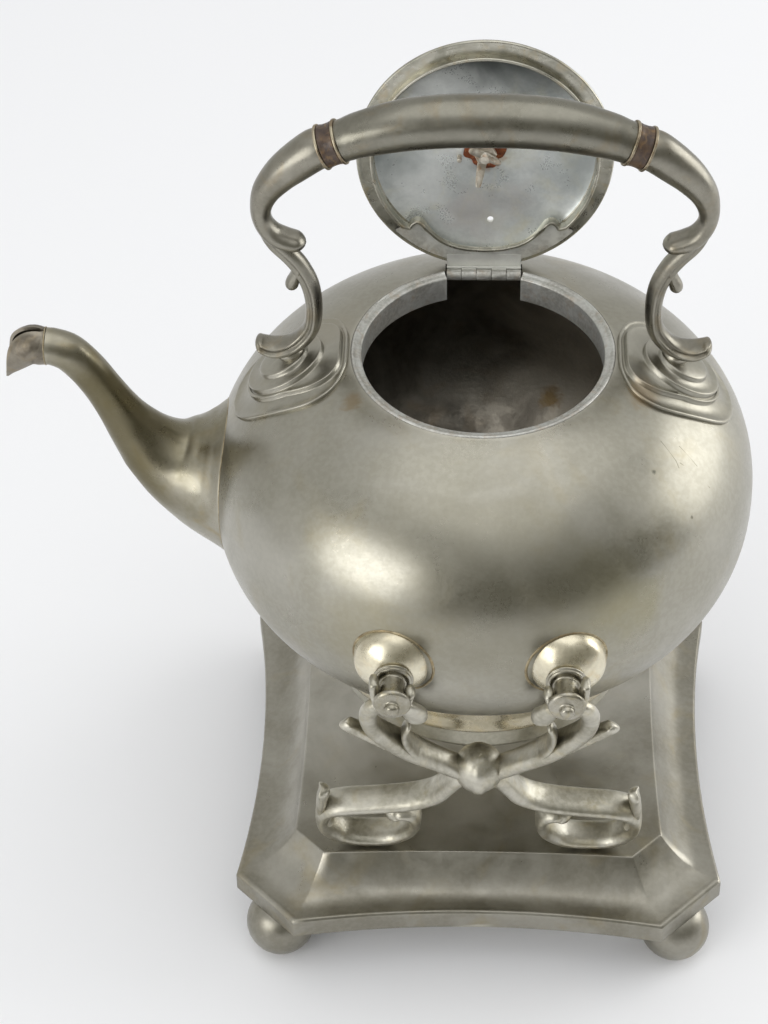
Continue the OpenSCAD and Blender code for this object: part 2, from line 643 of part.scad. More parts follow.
// Half of the scrollwork of a frame, x outwards and y up the leaning plane
module scrollwork() {
  h = bar_t / 2;
  x = scroll_x;
  p = pin_x;
  v = frame_v;
  foot = smooth([
    [x - 10, 26, h], [x - 12.8, 27.9, h - 0.6], [x - 16, 25.6, h - 0.6], [x - 17.2, 19.5, h - 0.5],
    [x - 15.4, 11.4, h - 0.3], [x - 9, 4.4, h - 0.2], [x, 1.9, h - 0.2], [x + 9.4, 4.4, h],
    [x + 15.2, 11.4, h], [x + 16.5, 20, h], [x + 14.6, 27.4, h], [x + 9, 31.4, h], [x - 3, 33.8, h],
    [x - 12, 35.8, h], [x - 19, 38.6, h], [x - 25.4, 43.8, h + 0.1], [x - 29.8, 51.6, h + 0.2],
    [x - 33.8, boss_v - 3.4, h + 0.3], [x - 40, boss_v + 0.6, h + 0.6]], 4);
  loop = smooth([
    [0, boss_v + 0.6, h + 0.5], [6.6, boss_v + 2.8, h + 0.2], [13.4, boss_v + 8.8, h],
    [22.8, boss_v + 18.8, h],
    [p + 2.2, v - 41, h], [p + 7.2, v - 30.4, h], [p + 8.6, v - 20, h], [p + 6.8, v - 11.6, h],
    [p + 1.4, v - 8.6, h], [p - 3.6, v - 10.6, h + 0.4], [p - 6.8, v - 15.4, h + 1.3],
    [p - 7.6, v - 19.6, h + 1.1],
    [p - 7.6, v - 21.6, 1]], 4);
  bar2d(foot);
  bar2d(loop);
  translate([x - 10, 25.6]) circle(r = 3.5);
  bar2d(smooth([[x + 15.6, 22, h - 0.3], [x + 15.4, 33, h - 0.5], [x + 13.8, 43, 0.5]], 4));
  bar2d(smooth([[p + 4.4, v - 41, h - 0.6], [p + 10.4, v - 34.6, h - 0.5], [p + 15.6, v - 28.2, h - 0.8],
    [p + 17.4, v - 25.4, 0.6]], 4));
  bar2d(smooth([[p - 7.4, v - 52.4, h - 0.6], [p - 3.6, v - 42, h - 1.2], [p - 4.4, v - 27.4, 0.5]], 4));
}

// Depth of the frame, thick at the feet and thin under the kettle pins
module depth_limit() {
  t = frame_v;
  rotate([90, 0, 90]) linear_extrude(200, center = true) polygon([
    [-20, 0], [boss_v - 16, 0], [boss_v - 6, -0.9], [boss_v + 10, -0.9], [boss_v + 20, 0], [t + 30, 0],
    [t + 30, -4.9], [t - 14, -4.9], [t - 34, -8.6],
    [boss_v + 20, -bar_d], [boss_v + 10, 0.9 - bar_d], [boss_v - 6, 0.9 - bar_d],
    [boss_v - 16, -bar_d], [-20, -bar_d]]);
}

// Open cradle for one pin, with a tall outer horn and a low inner one
module saddle(s) {
  r = pin_r + pin_play;
  translate([s * pin_x, -cradle_front + cradle_d, pin_z]) rotate([90, 0, 0]) linear_extrude(cradle_d)
    scale([s, 1]) difference() {
      union() {
        difference() {
          circle(r = r + 3.1);
          translate([-20, 0]) square([40, 20]);
        }
        translate([r, -2]) square([3.1, 6.6]);
        translate([r + 1.75, 4.8]) circle(r = 1.75);
        translate([-r - 3.1, -3]) square([3.1, 3.4]);
        translate([-r - 1.75, 0.6]) circle(r = 1.75);
      }
      circle(r = r);
      translate([-r, 0]) square([2 * r, 20]);
    }
}

// Round bulb over the crossing of the bars, cast in one piece with the frame
module boss() {
  translate([0, -foot_y, floor_z]) rotate([90 + lean, 0, 0]) translate([0, boss_v + 1.5, -bar_d / 2 - 0.4])
    rotate([90, 0, 0]) rotate_extrude() polygon([for (i = [0:18]) [8.8 * sin(10 * i), 9.6 * cos(10 * i)]]);
}

module frame() {
  color(pewter)
  difference() {
    union() {
      translate([0, -foot_y, floor_z]) rotate([90 + lean, 0, 0]) intersection() {
        translate([0, 0, -bar_d - 1]) linear_extrude(bar_d + 1) for (s = [1, -1]) scale([s, 1]) scrollwork();
        depth_limit();
      }
      boss();
      for (s = [-1, 1]) {
        saddle(s);
        translate([s * scroll_x, -pad_y, floor_z]) cylinder(r = 4.2, h = 4.4);
      }
    }
    translate([-100, -150, floor_z - 30]) cube([200, 150, 30.05]);
    for (s = [-1, 1]) {
      translate([s * scroll_x, -pad_y, floor_z]) cylinder(r = 1.8, h = 8, center = true);
      translate([s * pin_x, -cradle_front - 5, pin_z]) rotate([-90, 0, 0])
        cylinder(r = pin_r + pin_play, h = 20);
      translate([s * pin_x - pin_r - pin_play, -cradle_front - 5, pin_z])
        cube([2 * (pin_r + pin_play), 20, 20]);
    }
  }
}

module frame_front() frame();
module frame_rear() mirror([0, 1, 0]) frame();

module frame_screws() {
  color(bright)
  at_feet() union() {
    translate([0, 0, -base_t - 2.05]) cylinder(r = 3.4, h = 2);
    translate([0, 0, -base_t - 1]) cylinder(r = 1.77, h = base_t + 4.6);
  }
}

kettle_body();
bottom_pan();
foot_ring();
rim_collar();
spout();
spout_lip();
handle_plate_left();
handle_plate_right();
handle_arm_left();
handle_arm_right();
handle_grip();
insulator_rings();
handle_ferrules();
handle_spigots();
pin_domes();
pins_left();
pins_right();
hinge_leaf();
hinge_pin();
lid();
lid_plug_ring();
lid_strap();
lid_knob();
knob_stud();
knob_washer();
knob_nut();
knob_peg();
base();
ball_feet();
frame_front();
frame_rear();
frame_screws();
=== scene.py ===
import bmesh
import bpy
import math
from mathutils import Matrix, Vector


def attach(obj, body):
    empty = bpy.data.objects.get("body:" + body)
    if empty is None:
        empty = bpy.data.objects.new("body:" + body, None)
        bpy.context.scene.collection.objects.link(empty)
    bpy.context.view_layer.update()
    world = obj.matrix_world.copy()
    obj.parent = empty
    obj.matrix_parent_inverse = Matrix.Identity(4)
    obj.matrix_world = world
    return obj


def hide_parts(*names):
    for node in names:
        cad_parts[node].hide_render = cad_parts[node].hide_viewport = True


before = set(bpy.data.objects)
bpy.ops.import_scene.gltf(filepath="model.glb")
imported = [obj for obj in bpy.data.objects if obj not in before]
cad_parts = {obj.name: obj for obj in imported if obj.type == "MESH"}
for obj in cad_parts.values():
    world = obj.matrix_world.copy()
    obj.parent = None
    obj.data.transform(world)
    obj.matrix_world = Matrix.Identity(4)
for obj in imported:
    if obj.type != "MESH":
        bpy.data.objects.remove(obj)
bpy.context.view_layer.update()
print("frame loaded")

mm = 0.001
hinge = dict(width=26.4, y=45.2, z=226.39, knuckle=1.9, pin=0.9, play=0.05, open=96.0)
lid = dict(z=230.49, radius=44.4, plug=39.6, dome=5.5, pathRadius=38.9, vent=(2.1, 27.5), peg=(-8.8, 3.0))


def aboutHinge(degrees):
    # a turn about the lid's hinge
    pivot = Vector((0, hinge["y"], hinge["z"]))
    turn = Matrix.Translation(pivot) @ Matrix.Rotation(math.radians(degrees), 4, "X")
    return turn @ Matrix.Translation(-pivot)


def whenOpen(x, y, z):
    # the place that a point of the closed lid takes once the lid stands open
    return tuple(aboutHinge(-hinge["open"]) @ Vector((x, y, z)))


# Ways to make a mesh. Every size is in millimetres until meshOf turns it into metres.

def around(count):
    # that many angles round a full turn
    return [2 * math.pi * k / count for k in range(count)]


def curveThrough(stations, steps):
    # smooth curve through a few stations, whatever number of values each one has
    out = []
    last = len(stations) - 1
    for i in range(last):
        four = stations[max(i - 1, 0)], stations[i], stations[i + 1], stations[min(i + 2, last)]
        for s in range(steps):
            t = s / steps
            out.append(tuple(0.5 * (2 * b + (c - a) * t + (2 * a - 5 * b + 4 * c - d) * t * t
                                    + (3 * b - a - 3 * c + d) * t * t * t) for a, b, c, d in zip(*four)))
    out.append(tuple(stations[last]))
    return out


def shifted(stations, *offsets):
    # adds the offsets to the first values of each station
    return [tuple(v + d for v, d in zip(s, offsets)) + tuple(s[len(offsets):]) for s in stations]


def softened(corners, radius, steps=3, closed=True):
    # the same outline with every corner rounded off
    out = []
    for i, corner in enumerate(corners):
        if not closed and i in (0, len(corners) - 1):
            out.append(tuple(corner))
            continue
        here = Vector(corner)
        back = Vector(corners[i - 1]) - here
        ahead = Vector(corners[(i + 1) % len(corners)]) - here
        reach = min(radius, back.length * 0.45, ahead.length * 0.45)
        a = here + back.normalized() * reach
        b = here + ahead.normalized() * reach
        for s in range(steps + 1):
            t = s / steps
            out.append(tuple(a * (1 - t) ** 2 + here * 2 * t * (1 - t) + b * t * t))
    return out


def turned(profile, segments=96, closed=True, span=(0, 360)):
    # a profile of (radius, height) turned about the upright axis
    full = span[1] - span[0] > 359.9
    columns = segments if full else segments + 1
    points = []
    for k in range(columns):
        a = math.radians(span[0] + (span[1] - span[0]) * k / segments)
        points += [(r * math.cos(a), r * math.sin(a), z) for r, z in profile]
    m = len(profile)
    faces = []
    for k in range(segments):
        for i in range(m if closed else m - 1):
            a, b, j = k * m, ((k + 1) % columns) * m, (i + 1) % m
            faces.append((a + i, b + i, b + j, a + j))
    if closed and not full:
        faces += [tuple(range(m)), tuple(range((columns - 1) * m, columns * m))]
    return points, faces


def skinned(rings, looped=False):
    # a skin over rings that all have the same number of points, closed at both ends or into a loop
    n = len(rings[0])
    m = len(rings)
    points = [p for ring in rings for p in ring]
    faces = []
    for i in range(m if looped else m - 1):
        a, b = i * n, ((i + 1) % m) * n
        faces += [(a + k, a + (k + 1) % n, b + (k + 1) % n, b + k) for k in range(n)]
    if not looped:
        faces += [tuple(range(n)), tuple(range((m - 1) * n, m * n))]
    return points, faces


def joined(*shapes):
    points, faces = [], []
    for p, f in shapes:
        base = len(points)
        points += list(p)
        faces += [tuple(v + base for v in face) for face in f]
    return points, faces


def moved(shape, way):
    # way is a function that gives each point its new place
    return [way(*p) for p in shape[0]], shape[1]


def heading(stations, i):
    a, b = stations[max(i - 1, 0)], stations[min(i + 1, len(stations) - 1)]
    return Vector((b[0] - a[0], b[1] - a[1])).normalized()


def roundedOff(stations, reach, atStart=False, atEnd=True):
    # thins the last stretch of a bar like the quarter of an oval, so that it ends round
    stations = [tuple(s) for s in stations]
    for flip in (False, True):
        if not (atStart if flip else atEnd):
            continue
        if flip:
            stations.reverse()
        along = 0.0
        out = [stations[-1]]
        i = len(stations) - 1
        while i > 0 and along < reach:
            a, b = stations[i], stations[i - 1]
            length = math.dist(a[:2], b[:2])
            pieces = max(1, int(length / reach * 8))
            for s in range(1, pieces + 1):
                t = s / pieces
                out.append(tuple(p + (q - p) * t for p, q in zip(a, b)))
            along += length
            i -= 1
        full = out[-1]
        shaped = []
        total = 0.0
        before = out[0]
        for q in out:
            total += math.dist(before[:2], q[:2])
            before = q
            share = min(1.0, total / reach)
            thin = max(0.04, math.sqrt(1 - (1 - share) ** 2))
            shaped.append((q[0], q[1], q[2] * thin, q[3] * thin) + tuple(q[4:]))
        shaped[-1] = full
        stations = stations[:i] + list(reversed(shaped))
        if flip:
            stations.reverse()
    return stations


def oval(count, power=2.0):
    # points round a unit oval, squarer as power grows
    out = []
    for a in around(count):
        c, s = math.cos(a), math.sin(a)
        out.append((math.copysign(abs(c) ** (2 / power), c), math.copysign(abs(s) ** (2 / power), s)))
    return out


def bar(stations, place, count=24, power=2.0, groove=None, cup=0.0):
    # bar along stations (u, v, half thickness, half depth, middle of the depth), placed by a function
    # groove is (angle, width, depth as a share), cut on both faces, and cup hollows the end like a spoon
    rings = []
    for i, station in enumerate(stations):
        u, v, thick, deep = station[:4]
        mid = station[4] if len(station) > 4 else 0.0
        way = heading(stations, i)
        hollow = cup * max(0.0, i / (len(stations) - 1) * 2 - 1)
        ring = []
        for a, b in oval(count, power):
            if groove:
                angle = math.degrees(math.atan2(abs(b), a))
                dent = 1 - groove[2] * math.exp(-((angle - groove[0]) / groove[1]) ** 2)
                a, b = a * dent, b * dent
            side = a * thick + (hollow * thick * (b * b - 0.4) if cup else 0.0)
            ring.append(place(u - way[1] * side, v + way[0] * side, mid + b * deep))
        rings.append(ring)
    return skinned(rings)


def bead(path, radius, looped=False):
    # thin bead of eight sides along points in space
    path = [Vector(p) for p in path]
    rings = []
    n = len(path)
    for i, p in enumerate(path):
        a = path[(i - 1) % n if looped else max(i - 1, 0)]
        b = path[(i + 1) % n if looped else min(i + 1, n - 1)]
        along = (b - a).normalized()
        side = along.cross(Vector((0.3, 0.2, 1))).normalized()
        up = side.cross(along)
        ring = [side * radius * math.cos(t) + up * radius * math.sin(t) for t in around(8)]
        rings.append([tuple(p + away) for away in ring])
    return skinned(rings, looped=looped)


def placed(name, data):
    made = bpy.data.objects.new(name, data)
    bpy.context.scene.collection.objects.link(made)
    return made


def meshOf(name, shape, weld=0.0):
    # an object with the shape's mesh, smooth and welded where weld gives a distance
    mesh = bpy.data.meshes.new(name)
    mesh.from_pydata([(x * mm, y * mm, z * mm) for x, y, z in shape[0]], [], shape[1])
    work = bmesh.new()
    work.from_mesh(mesh)
    if weld:
        bmesh.ops.remove_doubles(work, verts=work.verts, dist=weld * mm)
    bmesh.ops.recalc_face_normals(work, faces=work.faces)
    for face in work.faces:
        face.smooth = weld > 0
    work.to_mesh(mesh)
    work.free()
    return placed(name, mesh)


def makePiece(name, shape, body, coats, stands=(), sharp=40):
    # coats names one or more finishes, and stands lists the CAD nodes that the piece stands for
    piece = meshOf(name, shape, weld=0.004)
    piece.data.set_sharp_from_angle(angle=math.radians(sharp))
    for coat in coats if isinstance(coats, list) else [coats]:
        piece.data.materials.append(finishes[coat])
    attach(piece, body)
    if stands:
        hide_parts(*stands)
    return piece


def carved(piece, cutters, sharp=40):
    # takes the cutters' shapes out of a piece
    made = []
    for shape in cutters:
        cutter = meshOf("cutter", shape)
        cut = piece.modifiers.new("cut", "BOOLEAN")
        cut.operation = "DIFFERENCE"
        cut.solver = "EXACT"
        cut.object = cutter
        made.append(cutter)
    bpy.context.view_layer.update()
    ready = piece.evaluated_get(bpy.context.evaluated_depsgraph_get())
    mesh = bpy.data.meshes.new_from_object(ready)
    piece.modifiers.clear()
    piece.data = mesh
    mesh.name = piece.name
    mesh.set_sharp_from_angle(angle=math.radians(sharp))
    for cutter in made:
        bpy.data.objects.remove(cutter)


def block(low, high):
    points = [(x, y, z) for z in (low[2], high[2]) for y in (low[1], high[1]) for x in (low[0], high[0])]
    return points, [(0, 2, 3, 1), (4, 5, 7, 6), (0, 1, 5, 4), (2, 6, 7, 3), (0, 4, 6, 2), (1, 3, 7, 5)]


def ballShape(radius, tall, segments):
    # a round or oval ball about its own middle
    return turned([(radius * math.sin(math.radians(15 * i)) + 0.01, tall * math.cos(math.radians(15 * i)))
                   for i in range(13)], segments)


# Finishes

def nodeIn(tree, kind, out, inputs, **settings):
    # makes a shader node whose inputs take plain values or other nodes' outputs, and gives one of its outputs
    made = tree.nodes.new("ShaderNode" + kind)
    for key, value in settings.items():
        setattr(made, key, value)
    for key, value in inputs.items():
        if isinstance(value, bpy.types.NodeSocket):
            tree.links.new(value, made.inputs[key])
        else:
            made.inputs[key].default_value = value
    return made.outputs[out]


def mixedColours(tree, factor, a, b):
    # the Mix node's sockets 6 and 7 are its two colours, and output 2 is the mixed one
    return nodeIn(tree, "Mix", 2, {0: factor, 6: a, 7: b}, data_type="RGBA")


def metalFinish(name, look):
    # hard finish with patches of tarnish, a fine grain, hair scratches, worn edges, darker colour in the
    # hollows, and coloured patches round given places, which are stains on some finishes and painted light,
    # shade and reflections on others
    material = bpy.data.materials.new(name)
    material.use_nodes = True
    tree = material.node_tree
    shader = tree.nodes["Principled BSDF"]
    shader.inputs["Metallic"].default_value = look.get("metal", 1.0)
    place = nodeIn(tree, "TexCoord", "Object", {})

    def noise(size, detail=4.0, twist=0.0, stretch=None, turn=(0, 0, 0)):
        source = place
        if stretch:
            source = nodeIn(tree, "Mapping", "Vector", {"Vector": place, "Scale": stretch, "Rotation": turn})
        inputs = {"Vector": source, "Scale": 1 / (size * mm), "Detail": detail, "Distortion": twist}
        return nodeIn(tree, "TexNoise", "Fac", inputs)

    def ranged(value, fromLow, fromHigh, toLow=0.0, toHigh=1.0):
        limits = zip(("From Min", "From Max", "To Min", "To Max"), (fromLow, fromHigh, toLow, toHigh))
        inputs = {"Value": value, **dict(limits)}
        return nodeIn(tree, "MapRange", "Result", inputs, interpolation_type="SMOOTHSTEP")

    def mixed(factor, a, b):
        return mixedColours(tree, factor, *((*c, 1) if isinstance(c, tuple) else c for c in (a, b)))

    def combined(a, b, how="ADD"):
        return nodeIn(tree, "Math", "Value", {0: a, 1: b}, operation=how)

    def vectorMath(how, out, inputs):
        return nodeIn(tree, "VectorMath", out, inputs, operation=how)

    tint, shade, warm = look["tint"], look["shade"], look["warm"]
    blotches = noise(look["patch"], 5, 0.8)
    colour = mixed(ranged(blotches, 0.38, 0.66), shade, tint)
    warmed = ranged(noise(look["patch"] * 0.62, 4, 1.1), 0.5, 0.75, 0, look.get("warmth", 0.7))
    colour = mixed(warmed, colour, warm)
    speck = ranged(noise(look["grain"] * 2.2, 3), 0.32, 0.7)
    colour = mixed(ranged(speck, 0, 1, 0, look.get("speckle", 0.18)), colour, tuple(c * 1.25 for c in tint))
    for colourPatch in look.get("stainsAndPaintedLight", []):
        # a patch of colour round a place, with a radius in millimetres and a ragged edge; each finish notes
        # which of its patches are stains and rust, and which are painted light, shade and reflections
        wide = colourPatch["radius"] * mm
        away = vectorMath("DISTANCE", "Value", {0: place, 1: tuple(v * mm for v in colourPatch["at"])})
        ragged = combined(noise(colourPatch["radius"] * 0.6, 5, 1), wide, "MULTIPLY")
        near = ranged(combined(away, ragged), wide * 0.7, wide * 1.35, colourPatch.get("strength", 0.8), 0)
        colour = mixed(near, colour, colourPatch["colour"])
    for a, b in look.get("cuts", []):
        # a dark hair scratch from a to b
        a, b = Vector(a) * mm, Vector(b) * mm
        along = (b - a).normalized()
        offset = vectorMath("SUBTRACT", "Vector", {0: place, 1: a})
        far = vectorMath("DOT_PRODUCT", "Value", {0: offset, 1: along})
        held = nodeIn(tree, "Clamp", "Result", {"Value": far, "Max": (b - a).length})
        nearest = vectorMath("SCALE", "Vector", {0: along, "Scale": held})
        gap = vectorMath("DISTANCE", "Value", {0: offset, 1: nearest})
        width = look["cutWidth"] * mm
        colour = mixed(ranged(gap, width * 0.5, width * 1.6, 0.85, 0), colour, look["cutColour"])
    edge = nodeIn(tree, "NewGeometry", "Pointiness", {})
    uneven = combined(edge, ranged(blotches, 0.3, 0.7, -0.015, 0.015))
    worn = ranged(uneven, 0.535, 0.60, 0, look.get("wear", 0.6))
    colour = mixed(worn, colour, tuple(min(1, c * 1.5) for c in tint))
    # darker colour in the hollows, where the pointiness is low
    hollow = ranged(edge, 0.40, 0.48, look.get("hollowDarkening", 0.6), 0)
    colour = mixed(hollow, colour, tuple(c * 0.38 for c in warm))
    tree.links.new(colour, shader.inputs["Base Color"])

    low, high = look["rough"]
    smear = combined(ranged(noise(look["patch"] * 0.35, 6, 0.5), 0.3, 0.7, low, high),
                  ranged(noise(look["grain"], 2), 0.3, 0.7, -0.03, 0.03))
    tree.links.new(smear, shader.inputs["Roughness"])

    dents = combined(noise(look.get("dent", 26), 1.5), look.get("dentHeight", 0.5), "MULTIPLY")
    grain = combined(noise(look["grain"], 3), look.get("grainHeight", 0.03), "MULTIPLY")
    lengthways = noise(2.2, 2, 0.2, (1, 0.06, 0.5), (0.4, 0.3, 0.9))
    crossways = noise(1.4, 2, 0.1, (0.05, 1, 0.6), (0.2, 0.8, 0.3))
    scratches = combined(combined(lengthways, crossways), look.get("scratch", 0.02), "MULTIPLY")
    height = combined(combined(dents, grain), scratches)
    bump = nodeIn(tree, "Bump", "Normal", {"Distance": mm, "Strength": 1.0, "Height": height})
    tree.links.new(bump, shader.inputs["Normal"])
    return material


scratchMarks = [
    ((59.4, -33.9, 219.5), (64.5, -38.4, 214.7)),
    ((64.5, -38.4, 214.7), (65.5, -40.2, 213.2)),
    ((65.9, -38.3, 213.8), (76.4, -39.1, 203.3)),
    ((65.7, -32.5, 216.1), (71.9, -35.7, 210.0)),
]
knobFoot = lid["z"] + lid["dome"]

